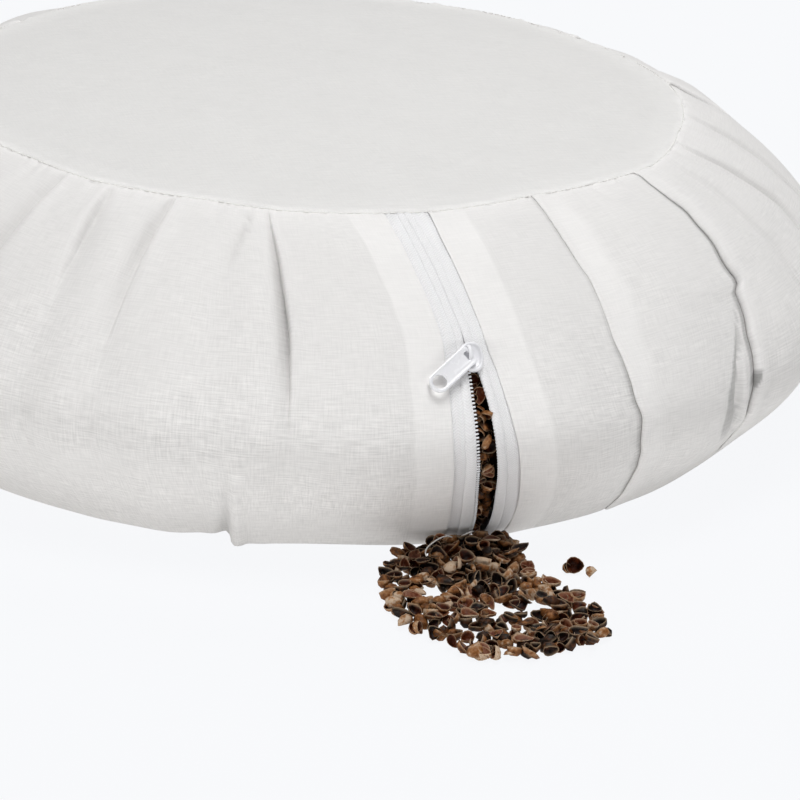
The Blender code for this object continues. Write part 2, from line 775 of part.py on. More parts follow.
def filling_spill():
    """The heap on the floor: hull-sized lumps over a flat underside, with bare spots through it."""
    angles = [360 * number / HEAP_SIDES for number in range(HEAP_SIDES)]
    rings = []
    for share in HEAP_SHARES:
        places = [heap_point(angle, share * heap_reach(angle)) for angle in angles]
        rings.append([Vector((x, y, heap_height(x, y, share))) for x, y in places])
    rings.append([Vector((p.x, p.y, 0.0)) for p in rings[-1]])
    middles = (Vector((*HEAP_CENTRE, heap_height(*HEAP_CENTRE, 0.0))), Vector((*HEAP_CENTRE, 0.0)))
    heap = loft("filling_spill", rings, "buckwheat hull", middles)
    for number, spot in enumerate(BARE_SPOTS):
        ring = []
        for corner in range(9):
            turn = 2 * math.pi * corner / 9 + number
            radius = spot.radius * (1 + 0.2 * math.sin(3 * turn + number))
            ring.append(Vector((spot.x + radius * math.cos(turn), spot.y + radius * math.sin(turn), 0)))
        tall = Vector((0, 0, 3 * HEAP_CREST))
        hole = loft("bare_spot", [[p - tall for p in ring], [p + tall for p in ring]], "buckwheat hull")
        add_cut(heap, hole)
    return heap


def loose_hull(place):
    """A single open hull: a pointed oval cup with a thin wall, lying on the floor."""
    sides = 12
    layers = ((0.35, 0.0), (0.85, 0.7), (1.0, 2.2), (0.86, 2.3), (0.7, 1.2), (0.3, HULL_WALL))
    rings = []
    for share, height in layers:
        ring = []
        for number in range(sides):
            turn = 2 * math.pi * number / sides
            x = math.cos(turn) * HULL_LENGTH / 2 * share
            y = math.sin(turn) * HULL_WIDTH / 2 * share * (1 - 0.3 * math.cos(turn))
            ring.append(Vector((x, y, height + 0.3 * share * math.cos(2 * turn) * (height > 1))))
        rings.append(ring)
    piece = loft(place.name, rings, "buckwheat hull")
    piece.location = Vector((place.x, place.y, 0)) * MM
    piece.rotation_euler.z = math.radians(place.turn)
    return piece


def clear_scene():
    for piece in list(bpy.data.objects):
        bpy.data.objects.remove(piece)


def main():
    clear_scene()
    side_band()
    top_panel()
    bottom_panel()
    zip_tape("zip_tape_left", -1)
    zip_tape("zip_tape_right", 1)
    zip_coil("zip_coil_left", -1)
    zip_coil("zip_coil_right", 1)
    zip_slider()
    zip_pull()
    filling_in_gap()
    filling_spill()
    for place in LOOSE_HULLS:
        loose_hull(place)


main()
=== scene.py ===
"""The looks of a zafu: a round, pleated meditation cushion of thin cotton muslin, filled with
buckwheat hulls, its side zip half open and hulls spilling on the floor.

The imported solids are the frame, in metres: origin in the middle of the bottom panel, +Z up and the
zip facing -Y. Sizes in the tables are millimetres and angles are degrees round from the zip's
meridian, growing towards +X. "down" is the distance along the side band from the top seam, and
"lift" is the distance out of its skin.
"""

import json
import math
import random
from collections import namedtuple
from contextlib import contextmanager

import bmesh
import bpy
import numpy as np
from mathutils import Euler, Matrix, Vector

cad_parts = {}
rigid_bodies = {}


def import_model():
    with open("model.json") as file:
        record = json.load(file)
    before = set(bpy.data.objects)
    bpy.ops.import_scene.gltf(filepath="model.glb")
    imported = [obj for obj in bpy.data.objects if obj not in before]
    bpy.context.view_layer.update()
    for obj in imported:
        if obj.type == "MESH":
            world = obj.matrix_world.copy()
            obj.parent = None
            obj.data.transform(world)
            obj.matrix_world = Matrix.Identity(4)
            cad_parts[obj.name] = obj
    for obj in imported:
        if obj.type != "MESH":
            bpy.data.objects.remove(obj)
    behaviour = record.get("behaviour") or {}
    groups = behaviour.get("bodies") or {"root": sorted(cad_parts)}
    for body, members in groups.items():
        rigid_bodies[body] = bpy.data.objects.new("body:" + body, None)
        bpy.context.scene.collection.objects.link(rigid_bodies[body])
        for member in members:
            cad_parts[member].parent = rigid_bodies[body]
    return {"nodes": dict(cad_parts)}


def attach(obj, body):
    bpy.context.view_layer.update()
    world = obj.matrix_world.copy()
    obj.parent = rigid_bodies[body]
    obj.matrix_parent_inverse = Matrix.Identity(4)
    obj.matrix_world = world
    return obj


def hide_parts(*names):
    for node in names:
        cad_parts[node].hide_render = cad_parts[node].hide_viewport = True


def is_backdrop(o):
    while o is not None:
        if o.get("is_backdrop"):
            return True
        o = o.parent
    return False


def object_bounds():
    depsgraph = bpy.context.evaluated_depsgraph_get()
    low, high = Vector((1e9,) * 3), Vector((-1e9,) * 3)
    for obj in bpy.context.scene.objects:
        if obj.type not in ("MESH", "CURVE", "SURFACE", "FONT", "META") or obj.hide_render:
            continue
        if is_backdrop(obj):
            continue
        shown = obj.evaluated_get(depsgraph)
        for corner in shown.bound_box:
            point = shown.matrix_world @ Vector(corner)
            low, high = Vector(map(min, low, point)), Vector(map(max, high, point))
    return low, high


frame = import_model()
CAD_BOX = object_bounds()

MM = 0.001

SIDES = {-1: "left", 1: "right"}


def table(fields, rows):
    """Plain rows, with names for their columns."""
    kind = namedtuple("Row", fields)
    return tuple(kind(*row) for row in rows)


def tables(fields, plain):
    return {name: table(fields, rows) for name, rows in plain.items()}


# -------------------------------- camera, from the photograph
CAMERA_PLACE = (-340.0, -1062.7, 434.5)
CAMERA_TARGET = (32.24, -11.42, -8.4)
CAMERA_ROLL = 3.44
CAMERA_LENS, CAMERA_SENSOR = 158.98, 36.0

# -------------------------------- the filled shape, as the solids
WIDEST_RADIUS, WIDEST_HEIGHT = 180.0, 45.7
SEAM_RADIUS, SEAM_HEIGHT = 122.4, 99.0
FOOT_RADIUS = 144.6
UPPER_POWER, FOOT_POWER = 1.54, 1.7  # how round the outline is above its widest and below
CROWN = 5.0  # how far the top panel rises to its middle
ARC_STEPS = 60
OUTLINE_STEP = 2.0
SOFTEN_PASSES = 40
PUFF_PER_DEGREE, PUFF_POWER = 0.14, 1.3  # how far the band swells between two folds
SWELL_SPAN = (0, 18, 90, 125)  # and where down the band it begins, is full, fades and ends
FLOOR_TOUCH = 0.15  # the cover's least height over the floor

SEAM_GROOVE, SEAM_GROOVE_HALF = 0.22, 1.1  # how deep the seam pulls in, and over what
SEAM_ROLL = (0.30, 2.4, 1.8)  # the soft roll beside it: height, distance and half width
SEAM_TUCKS = ((0, 0.6, -0.9), (-1, 1.6, 1.2))  # the cloth turned in: row, how far in and up
SEAM_ALLOWANCE = 9.0  # doubled cloth that shows through beside a seam
# How doubled the cloth looks: over an allowance, right at a seam, in a fold's lap and at its edge
ALLOWANCE_DOUBLED, SEAM_DOUBLED, LAP_DOUBLED, FOLD_DOUBLED = 0.3, 0.4, 0.45, 0.7

# How the top seam strays from its circle, as in the solids, and how far down the band follows it
SEAM_WAVER_REACH = 45
SEAM_WAVER = (
    (0, 1.0), (16.7, -3.5), (28, -2.0), (42, 1.0), (60, -1.8), (86.5, 0.5), (114, -1.5),
    (132, 1.0), (152, -1.4), (170, 1.2), (181, -1.2), (205, 0.8), (220, -1.6), (236, 1.0),
    (249, -1.3), (270, 1.0), (298, -1.6), (310, 0.8), (328, -1.2), (339, 2.0), (360, 1.0),
)

# A knife pleat: its top layer comes from the right and its edge faces left. stand is how high the
# edge lies, sink how far the cloth beside it goes under.
KNIFE_PLEATS = tables("down angle stand sink", {
    "front_pleat": (
        (0, 16.6, 0.25, 0.2), (6, 16.7, 0.35, 0.2), (22, 16.7, 0.3, 0.2), (39, 16.7, 0.25, 0.2),
        (53, 16.3, 0.35, 0.25), (66, 16.7, 0.5, 0.45), (80, 17.5, 0.6, 0.6), (88, 18.3, 0.7, 0.7),
        (101, 20.1, 0.5, 0.4), (112, 21.1, 0.45, 0.4), (130, 23.7, 0.35, 0.3), (146, 25.0, 0, 0),
    ),
    "right_pleat": (
        (0, 37.2, 0.3, 0.2), (3, 37.7, 0.4, 0.2), (12, 38.5, 0.5, 0.4), (20, 39.1, 0.6, 0.5),
        (33, 39.2, 0.8, 0.8), (41, 38.4, 1.0, 1.1), (47.6, 38.9, 1.1, 1.3), (49.6, 37.1, 1.1, 1.3),
        (57, 36.4, 1.0, 1.2), (64, 35.2, 1.0, 1.3), (70, 34.9, 1.0, 1.3), (78, 34.2, 1.1, 1.5),
        (82, 34.6, 1.0, 1.3), (88, 34.9, 0.9, 1.1), (97, 36.0, 0.5, 0.6), (118, 38.5, 0, 0),
    ),
    "pleat_b1": (
        (0, 86.5, 0.7, 0.3), (20, 86.9, 1.1, 1.1), (60, 87.8, 1.1, 1.3), (90, 88.5, 0.7, 0.8),
        (122, 90.0, 0, 0),
    ),
    "pleat_b2": (
        (0, 114.0, 0.7, 0.3), (20, 114.6, 0.9, 0.9), (60, 116.0, 1.0, 1.0), (95, 117.2, 0.7, 0.7),
        (128, 119.0, 0, 0),
    ),
    "pleat_b3": (
        (0, 152.0, 0.7, 0.3), (20, 152.3, 1.0, 1.1), (60, 153.0, 1.1, 1.3), (90, 154.0, 0.6, 0.7),
        (114, 156.0, 0, 0),
    ),
    "pleat_b4": (
        (0, 181.0, 0.7, 0.3), (20, 181.4, 1.0, 0.9), (60, 182.6, 1.0, 1.1), (95, 183.8, 0.7, 0.7),
        (128, 186.0, 0, 0),
    ),
    "pleat_b5": (
        (0, 220.0, 0.7, 0.3), (20, 220.7, 1.0, 1.0), (60, 222.0, 1.1, 1.2), (90, 223.0, 0.7, 0.8),
        (118, 225.5, 0, 0),
    ),
    "pleat_b6": (
        (0, 249.0, 0.7, 0.3), (20, 249.5, 1.0, 0.9), (60, 250.5, 1.0, 1.0), (95, 251.8, 0.7, 0.7),
        (124, 254.0, 0, 0),
    ),
})

# A knife pleat's section in millimetres right of its line, unfolded and folded, and the shares of
# sink, of stand and of the layers' own thickness that make its lift
KNIFE_SECTION = (
    (-9.0, -9.0, 0.00, 0.00, 0.00), (-6.6, -6.0, 0.05, 0.00, 0.00), (-4.8, -3.4, 0.20, 0.00, 0.00),
    (-3.4, -1.5, 0.58, 0.00, 0.00), (-2.2, 0.4, 1.00, 0.00, -0.08), (-1.2, 3.0, 1.05, 0.00, -0.40),
    (-0.3, 6.2, 1.05, 0.00, -0.60), (0.4, 6.7, 1.00, 0.00, -0.50), (1.0, 6.2, 0.95, 0.00, -0.40),
    (1.7, 3.0, 0.95, 0.00, -0.30), (2.4, 0.6, 0.92, 0.00, -0.14), (3.0, 0.1, 0.84, 0.04, -0.02),
    (3.6, 0.0, 0.62, 0.22, 0.08), (4.2, 0.3, 0.34, 0.56, 0.14), (5.0, 1.1, 0.10, 0.90, 0.13),
    (6.2, 2.9, 0.00, 0.92, 0.06), (8.0, 6.0, 0.00, 0.42, 0.00), (11.0, 11.0, 0.00, 0.00, 0.00),
)
KNIFE_TOP_FROM, KNIFE_UNDER_TO = 12, 10.5  # the section's rows in the top layer and under it
KNIFE_LAP = 6.7
KNIFE_WAVER = 0.6  # how far a fold's edge strays from its line
KNIFE_BACK = (80.0, 260.0)  # pleats between these angles are built with fewer columns

# A gather: cloth that sinks over its width to a line, then rises sharply to a ridge beyond it.
# ridge_side is the ridge's side, 1 for the right, rise is how wide the step is, and shade is how
# strongly painted shade darkens the cloth's colour over the trough.
Gather = namedtuple("Gather", "ridge_side rise shade rows")
GATHERS = {name: Gather(*step, table("down angle depth width", rows)) for name, (*step, rows) in {
    "front_tuck": (-1, 0.6, 0.8, (
        (92, 18.0, 0, 0.8), (97, 18.8, 0.7, 0.8), (102, 19.5, 0, 0.8),
    )),
    "right_wedge": (1, 0.8, 0.0, (
        (52, 35.3, 0, 0.6), (60, 33.7, 0.5, 1.0), (64, 32.7, 1.0, 1.4), (70, 31.4, 1.6, 2.2),
        (76, 30.9, 2.0, 2.6), (82, 31.0, 2.2, 2.8), (90, 32.8, 2.0, 3.2), (95, 33.6, 1.2, 3.2),
        (101, 34.3, 0, 3.2),
    )),
    "right_gather": (1, 1.6, 0.1, (
        (0, 46.5, 0.2, 1.2), (8, 47.5, 0.4, 2.0), (25, 49.0, 0.5, 3.0), (45, 50.5, 0.6, 4.0),
        (70, 50.5, 0.9, 4.0), (95, 50.5, 0.6, 4.5), (120, 52.0, 0, 5.0),
    )),
    "side_pleat": (1, 0.9, 0.15, (
        (0, 55.3, 0.4, 1.5), (8, 55.9, 0.7, 2.2), (20, 58.3, 0.9, 3.0), (38, 61.6, 1.0, 3.6),
        (48, 61.6, 0.9, 4.0), (70, 62.0, 0.7, 4.5), (110, 64.0, 0, 5.0),
    )),
    "side_gather": (1, 1.4, 0.1, (
        (0, 70.5, 0.5, 1.5), (20, 72.0, 1.1, 3.0), (60, 74.3, 1.0, 4.2), (92, 75.0, 0, 5.0),
    )),
    "gather_b1": (1, 1.4, 0.1, (
        (0, 101.0, 0.4, 1.5), (20, 101.2, 1.2, 3.0), (50, 101.6, 0.9, 4.2), (82, 102.0, 0, 5.0),
    )),
    "gather_b2": (1, 1.4, 0.1, (
        (0, 133.5, 0.4, 1.5), (20, 134.0, 1.5, 3.0), (70, 135.2, 1.2, 4.2), (118, 137.0, 0, 5.0),
    )),
    "gather_b3": (1, 1.4, 0.1, (
        (0, 168.0, 0.4, 1.5), (20, 168.0, 1.2, 3.0), (72, 169.0, 0, 4.2),
    )),
    "gather_b4": (1, 1.4, 0.1, (
        (0, 201.0, 0.4, 1.5), (20, 201.2, 1.4, 3.0), (60, 202.0, 1.1, 4.2), (100, 203.0, 0, 5.0),
    )),
    "gather_b5": (1, 1.4, 0.1, (
        (0, 235.0, 0.4, 1.5), (20, 235.0, 1.2, 3.0), (84, 235.5, 0, 4.2),
    )),
    "gather_b6": (1, 1.4, 0.1, (
        (0, 269.0, 0.4, 1.5), (20, 269.0, 1.2, 3.0), (90, 269.0, 0, 4.2),
    )),
    "left_gather_5": (1, 0.9, 0.6, (
        (0, 287.5, 0.8, 1.5), (20, 287.0, 2.2, 3.4), (45, 286.5, 1.7, 4.8), (78, 286.0, 0, 5.5),
    )),
    "left_gather_4": (1, 1.0, 0.35, (
        (0, 305.5, 0.5, 1.4), (4, 305.4, 1.2, 1.9), (15, 305.2, 2.2, 3.6), (32, 305.0, 2.6, 5.5),
        (50, 304.6, 1.7, 7.0), (80, 303.8, 0, 8.0),
    )),
    "left_gather_3": (-1, 1.2, 0.3, (
        (0, 313.7, 0.3, 1.3), (4, 313.8, 1.1, 1.8), (14, 314.1, 1.7, 3.2), (25, 314.4, 1.5, 4.6),
        (48, 314.8, 0, 6.0),
    )),
    "left_gather_2": (1, 0.6, 0.3, (
        (0, 323.3, 0.5, 1.0), (3, 323.2, 1.5, 1.5), (12, 323.0, 2.4, 2.6), (25, 322.6, 2.4, 3.8),
        (36, 322.4, 1.6, 5.0), (56, 322.2, 0, 6.0),
    )),
    "left_gather_1": (1, 0.5, 0.3, (
        (0, 334.8, 0.4, 0.8), (3, 334.7, 0.9, 1.0), (10, 334.2, 1.0, 1.6), (18, 333.6, 0.6, 2.4),
        (30, 333.0, 0, 3.0),
    )),
    "left_pleat": (1, 0.35, 0.85, (
        (0, 336.7, 0.1, 0.8), (3, 336.9, 0.5, 0.9), (10, 337.8, 1.0, 1.3), (17, 338.7, 1.6, 1.8),
        (31, 339.9, 2.5, 2.6), (45, 340.9, 2.8, 3.2), (54, 341.1, 2.3, 3.6), (63, 341.3, 1.2, 4.0),
        (76, 341.3, 0, 4.5),
    )),
    "foot_hollow": (1, 7.0, 0.1, (
        (96, 332.0, 0, 8.0), (120, 332.0, 1.1, 8.0), (136, 332.0, 1.8, 7.0), (152, 332.0, 0.5, 6.0),
    )),
    "foot_gather": (1, 1.3, 0.9, (
        (84, 335.8, 0, 1.8), (98, 335.6, 0.6, 2.2), (112, 335.3, 1.4, 2.6), (126, 334.9, 2.6, 3.0),
        (134, 334.5, 3.2, 3.0), (150, 334, 0, 3.0),
    )),
}.items()}
GATHER_EASE = 4.0  # the distance down that rounds its line and depth
GATHER_RIDGE = 0.6  # the ridge's height as a share of the depth
# The gathers that have columns of their own, and where those stand in millimetres
LINED_GATHERS = (
    "right_gather", "side_pleat", "side_gather", "left_gather_5", "left_gather_4",
    "left_gather_3", "left_gather_2", "left_pleat",
)
GATHER_COLUMNS = (
    -8.0, -6.0, -4.5, -3.4, -2.5, -1.8, -1.2, -0.75, -0.42, -0.18, 0.0, 0.1, 0.22, 0.36, 0.55,
    0.8, 1.15, 1.6, 2.2, 3.0, 4.1, 5.6, 7.5,
)
# Where the dark wedge beside the right pleat runs, for columns of its own
WEDGE_GUIDE = table("down angle", (
    (0, 32.4), (4, 33.0), (12, 34.1), (20, 35.0), (41, 34.6), (52, 33.6), (60, 32.6), (64, 32.0),
    (70, 31.0), (76, 30.4), (82, 30.4), (90, 31.2), (97, 32.3), (118, 34.8), (158, 36.0),
))
WEDGE_COLUMNS = (-4.6, -4.0, -3.4, -2.9, -2.4, -1.9, -1.4, -0.9, -0.4, 0.1, 0.6)

# Sharply bounded patches of painted shade: the cloth's colour is darkened where it lies in the
# shadow of a fold
PAINTED_SHADE_PATCHES = tables("down start end depth", {
    "right_wedge": (
        (50, 35.8, 36.0, 0.0), (56, 34.4, 34.8, 0.5), (64, 31.9, 32.8, 0.9), (70, 30.1, 31.5, 1.0),
        (76, 29.0, 30.9, 1.1), (82, 28.7, 31.0, 1.1), (88, 29.2, 32.4, 1.0), (95, 30.7, 33.7, 0.5),
        (100, 31.8, 34.4, 0.0),
    ),
    "right_tuck": (
        (74.8, 33.4, 35.1, 0.0), (75.6, 33.4, 35.1, 1.7), (77.5, 33.4, 34.8, 1.7),
        (79.4, 33.6, 34.6, 1.5), (81.3, 33.9, 34.45, 1.1), (83.2, 34.2, 34.4, 0.0),
    ),
})
PAINTED_SHADE_STRENGTH = 0.33  # the share by which painted shade darkens the cloth's colour where it is full
PAINTED_SHADE_EDGE = 0.12  # degrees, half the width of the soft edge of a patch of painted shade
SEAM_SHADE_SPECKS = (0.6, 2.6, 12)  # small specks of painted shade at the top seam: how dark, how wide and a seed
COLUMN_FRONT, COLUMN_BACK = 0.42, 1.1  # degrees between the cover's columns
COLUMN_MIDDLE, COLUMN_REACH = 14.0, 78  # the front's middle, and how far it goes to each side

# Small creases along each seam, and the spans that their depth, width, reach and slant come from
PUCKERS, PUCKER_SPANS = 150, ((0.1, 0.75), (0.8, 2.2), (3.0, 12.0), (-0.12, 0.12))
TOP_PUCKERS, TOP_PUCKER_SPANS = 70, ((0.05, 0.25), (1.0, 2.4), (3, 8))
PUCKER_SEED = 11
CALM_HALF, CALM_SHARE = 14, 0.25  # top seam: degrees from the zip, and the share of depth left
# Soft noise over the cloth: its height, how wide its lumps are, and its seed
LUMPS = ((0.55, 34.0, 3), (0.16, 13.0, 4))
UPPER_CREASES, TOP_LUMPS, RIM_LUMPS = (0.07, 5.0, 5), (0.35, 42.0, 8), (0.75, 3.4, 14)
CREASE_SPAN = (0, 4, 20, 70)  # where down the band the upper creases begin, are full, fade and end
# How far from the top seam the rows of points next to it lie, on the cover and on the top panel
ROWS_AT_SEAM = (0, 0.4, 0.8, 1.2, 1.7, 2.3, 3.0, 3.9, 5.0, 6.3, 7.8, 9.5, 11.4, 13.5, 15.8)
RINGS_AT_RIM = (0, 0.4, 0.8, 1.3, 1.9, 2.6, 3.5, 4.6, 6, 8)
RINGS_INSIDE = (10.5, 118, 34)  # the nearest, the furthest and how many
TOP_SHEER = 0.22  # how much of the weave shows on the top panel

# Doubled cloth that shows whiter: between two angles, at distances down
DOUBLED_BANDS = tables("down start end", {
    "left_placket": (
        (0, -10.6, 0), (5, -10.2, 0), (20, -8.2, 0), (38, -6.5, 0), (52, -5.5, 0), (65, -5.8, 0),
        (82, -6.0, 0), (105, -5.2, 0), (158, -3.0, 0),
    ),
    "right_placket": (
        (0, 0, 4.0), (11, 0, 4.2), (24, 0, 4.5), (38, 0, 5.0), (49, 0, 5.0), (60, 0, 5.4),
        (75, 0, 6.0), (86, 0, 6.6), (105, 0, 9.0), (158, 0, 11.5),
    ),
    "front_pleat_allowance": (
        (0, 17.6, 21.2), (6, 17.4, 21.0), (39, 17.0, 20.8), (52, 16.4, 19.6), (75, 17.2, 19.6),
        (100, 20.3, 22.2), (130, 23.8, 25.6), (158, 26.0, 27.0),
    ),
})

# -------------------------------- the zip
# Offsets round the band from the zip's meridian, read down the photograph
ZIP_ROWS = table("down left_fold left_line left_edge right_edge right_line right_fold", (
    (-2, -16.0, -12.0, -9.9, -9.9, -7.9, -2.6), (2.3, -15.4, -11.6, -9.3, -9.3, -7.1, -2.0),
    (12.3, -13.7, -10.3, -7.7, -7.7, -5.1, -1.2), (23.6, -12.0, -8.6, -5.7, -5.7, -3.1, 0.7),
    (34.1, -10.1, -6.6, -4.0, -4.0, -1.4, 2.4), (44.1, -8.7, -4.8, -2.2, -2.2, 0.3, 4.0),
    (48.0, -8.5, -4.5, -2.1, -1.9, 0.6, 4.4), (52.0, -8.7, -4.7, -2.2, -1.0, 1.5, 4.9),
    (57.4, -9.1, -5.1, -2.5, 0.6, 3.2, 6.2), (65.9, -9.3, -5.6, -2.6, 2.1, 4.7, 7.6),
    (74.8, -9.3, -5.6, -2.2, 3.4, 6.3, 9.6), (81.2, -8.8, -5.1, -1.5, 4.6, 7.3, 11.4),
    (94.0, -6.4, -2.8, 0.8, 7.5, 10.4, 14.6), (102.0, -4.9, -1.5, 2.5, 9.0, 12.2, 16.5),
    (111.0, -3.0, 0.6, 4.6, 10.9, 14.2, 18.5), (118.0, -1.6, 2.0, 6.2, 12.2, 15.5, 19.4),
    (124.0, -0.5, 3.2, 7.3, 13.1, 16.5, 20.2), (132.0, 0.9, 4.6, 8.7, 13.8, 17.0, 20.6),
    (140.0, 2.3, 5.9, 10.0, 13.6, 16.8, 20.5), (158.0, 3.0, 6.6, 11.0, 11.6, 15.8, 20.0),
))
# The folded edge's section, in millimetres out from the fold, and its lift
PLACKET_SECTION = (
    (7.0, -0.34), (3.5, -0.33), (1.2, -0.32), (0.35, -0.30), (0.08, -0.22), (0.0, -0.10),
    (0.05, 0.02), (0.25, 0.13), (0.7, 0.18), (1.6, 0.20), (3.0, 0.18), (5.0, 0.10), (8.0, 0.03),
    (11.0, 0.0),
)

TAPE_LIFT = -0.36
TAPE_THICK = 0.5
TAPE_HIDDEN = 4.0  # how far the tape runs on under the folded edge
TAPE_AT_FOLD = ((1.5, -0.06), (0.4, -0.02))  # out under the fold, and lift
ROLL_RISE, ROLL_STEPS = 0.7, 10  # the smooth roll of tape over the coil
ROLL_EDGE_COLUMN = 19  # the last column of the roll, where the two coils meet
TOOTH_PITCH, TOOTH_SIZE = 1.13, (0.60, 1.0, 0.50)
TEETH_FROM, TEETH_TO = 53.0, 140.0
STITCH_PITCH, STITCH_SIZE, STITCH_LIFT = 2.6, (2.0, 0.32, 0.3), 0.12

# Where the slider sits: down the band, round it from the zip's meridian and out of its skin
SLIDER_DOWN, SLIDER_ACROSS, SLIDER_LIFT = 53.4, -1.2, 1.0
SLIDER_LENGTH, SLIDER_WIDTH, SLIDER_THICK = 9.2, 6.8, 1.5
# The slider's rings from its foot over the rim into the dish: inset and height
SLIDER_PROFILE = (
    (0.35, 0.0), (0.08, 0.12), (0.0, 0.4), (0.0, 0.9), (0.1, 1.25), (0.35, 1.48), (0.675, 1.5),
    (0.9, 1.38), (1.15, 1.08), (1.6, 0.98),
)
BRIDGE_SPAN, BRIDGE_RISE = 4.2, 2.1
BRIDGE_FOOT = 0.6  # how far under the slider's rim it starts
BRIDGE_MIDDLE = (-1.0, 1.0)
BRIDGE_HALF = (0.62, 0.38)  # half its width, and half its thickness
PULL_REACH = 11.5  # from the eye to the middle of the round end
PULL_NEAR = 2.1  # from the eye to the end at the bridge
PULL_WIDTH, PULL_CORNER = 6.2, 1.3
# The pull's rings from its underside round to its border: inset and height
PULL_PROFILE = (
    (0.22, -0.5), (0.06, -0.44), (0.0, -0.28), (0.0, 0.28), (0.06, 0.44), (0.22, 0.5),
    (0.62, 0.5), (0.74, 0.45), (0.86, 0.36),
)
# How it lies on the slider: its eye's place and height, and its turn and tilt in degrees
PULL_EYE_PLACE, PULL_HEIGHT = (-2.2, -0.35), 2.0
PULL_TURN, PULL_TILT = 216.5, 3.8
# Each opening's middle along the pull, half its length and width, and how square it is
PULL_EYE = (-0.65, 0.85, 1.45, 4.0)
PULL_HOLE = (PULL_REACH - 0.1, 2.15, 2.15, 2.0)

# -------------------------------- the hulls
HULL_SEED = 5
HEAP_HULLS, HEAP_CREST_HULLS = 660, 170  # hulls tried; those that would lie too high are left out
HEAP_CREST = (5.0, -160.0, 8.5)  # x, y and spread
# Where the heap may reach its highest: x, y and spread, its height at the edges and above that
HEAP_PEAK = (4.0, -160.0, 18.0, 4.8, 5.5)
HEAP_TRIES = 7  # places that each hull is tried at, to lie in the lowest
HEAP_OUTLINE = (
    (-24.5, -167), (-20, -159), (-12.5, -152.5), (-4, -149), (17, -148), (20.5, -153), (20.5, -161),
    (18.5, -173), (21.5, -184), (26.5, -192), (28, -203), (29, -212), (26, -220), (17.7, -224.5),
    (9, -226.5), (0, -228), (-12, -225), (-18, -221), (-22, -211), (-28, -204), (-30, -193),
    (-27.5, -175),
)
BARE_SPOTS = ((-13.5, -182.0, 4.2), (2.0, -197.0, 4.4), (11.5, -200.0, 4.6), (-13.0, -209.0, 3.4))
# The four hulls beside the heap: x, y, kind, turn, size and tone
LOOSE_HULLS = (
    (31.0, -172.6, 1, (0.9, 0.3, 0.6), 0.85, 0.65),
    (35.0, -170.4, 2, (0.5, -0.3, 2.2), 0.95, 0.5),
    (33.4, -172.8, 0, (1.15, 0.0, -0.35), 1.35, 0.45),
    (36.8, -177.0, 4, (2.3, 0.3, 1.2), 1.0, 0.85),
)

# Hulls in the open zip, the deepest first: how many, their lift and the span of their tones, darker
# for the deeper layers as painted shade
GAP_LAYERS = ((70, -5.6, (-0.1, 0.18)), (40, -3.4, (0.1, 0.62)), (12, -2.2, (0.5, 0.95)))
GAP_FROM, GAP_LENGTH, GAP_LOWEST = 55.0, 96.0, 2.2
CORE_DEPTH, CORE_SAG = 4.6, 3.0  # the mass behind them, and how much deeper it is at its sides

Hull = namedtuple("Hull", "place kind turn size tone")
HULL_VALUES = (("kind", "INT"), ("turn", "FLOAT_VECTOR"), ("size", "FLOAT"), ("tone", "FLOAT"))
# tip is how pointed one end is, rise how far the sides dip at the ends, curl how far the rim turns
# in, and lobes how three-sided the husk is
HULL_SHAPES = table("length width depth tip rise curl lobes", (
    (4.5, 4.3, 2.4, 0.10, 0.06, 0.12, 0.0), (5.2, 4.3, 2.1, 0.28, 0.16, 0.08, 0.0),
    (5.0, 3.7, 2.0, 0.22, 0.10, 0.18, 0.0), (4.9, 4.7, 1.7, 0.12, 0.20, 0.10, 0.14),
    (4.2, 3.9, 2.8, 0.14, 0.08, 0.20, 0.05), (4.8, 3.6, 1.2, 0.40, 0.30, 0.00, 0.0),
))
HULL_WALL, HULL_KEEL, HULL_SIDES = 0.2, 0.22, 12
HULL_LAYERS = ((0.42, 0.10), (0.80, 0.45), (1.0, 1.0))  # share of the radius, share of the depth

# The loose end of sewing thread at the zip's foot: points in millimetres
THREAD_PATH = (
    (14.5, -140.0, 1.5), (10.05, -150.1, 5.4), (5.0, -159.1, 9.6), (2.5, -158.2, 8.1),
    (0.0, -158.6, 7.9), (-2.9, -159.4, 9.0), (-6.3, -160.8, 8.7), (-9.7, -162.7, 7.6),
    (-11.5, -165.6, 7.3), (-12.5, -169.4, 7.8),
)
THREAD_THICK = 0.42

# -------------------------------- the finishes and the light
# Linear colours of the muslin, where it is one layer thick and where it lies doubled; the top
# panel's pair is the same muslin painted about 2% darker, as shade
SIDE_SINGLE, SIDE_DOUBLED = (0.787, 0.775, 0.764), (0.886, 0.873, 0.862)
TOP_SINGLE_SHADED, TOP_DOUBLED_SHADED = (0.771, 0.763, 0.750), (0.866, 0.857, 0.843)
TAPE_WHITE = (0.870, 0.867, 0.876)
# From the darkest husk to the palest
HUSK_COLOURS = (
    (0.0, (0.008, 0.003, 0.001)), (0.30, (0.060, 0.018, 0.003)), (0.60, (0.215, 0.082, 0.022)),
    (0.84, (0.335, 0.168, 0.074)), (1.0, (0.52, 0.39, 0.28)),
)
HUSK_CUP_SHADE = (0.36, 0.17, 0.11)  # painted shade: what the colour is multiplied by inside the cup, which also makes it redder
HUSK_RIM = (0.50, 0.35, 0.22)
# Pitches in metres
MUSLIN_PITCH, TAPE_PITCH, RIB_PITCH, HERRINGBONE_WIDTH = 0.00044, 0.0005, 0.0009, 0.0011

FLOOR_HALF = 6.0  # metres
FLOOR_DROP = 0.05  # the studio floor lies this far under the part
AIR_TINT, AIR_STRENGTH = (0.97, 0.98, 1.0, 1.0), 0.05
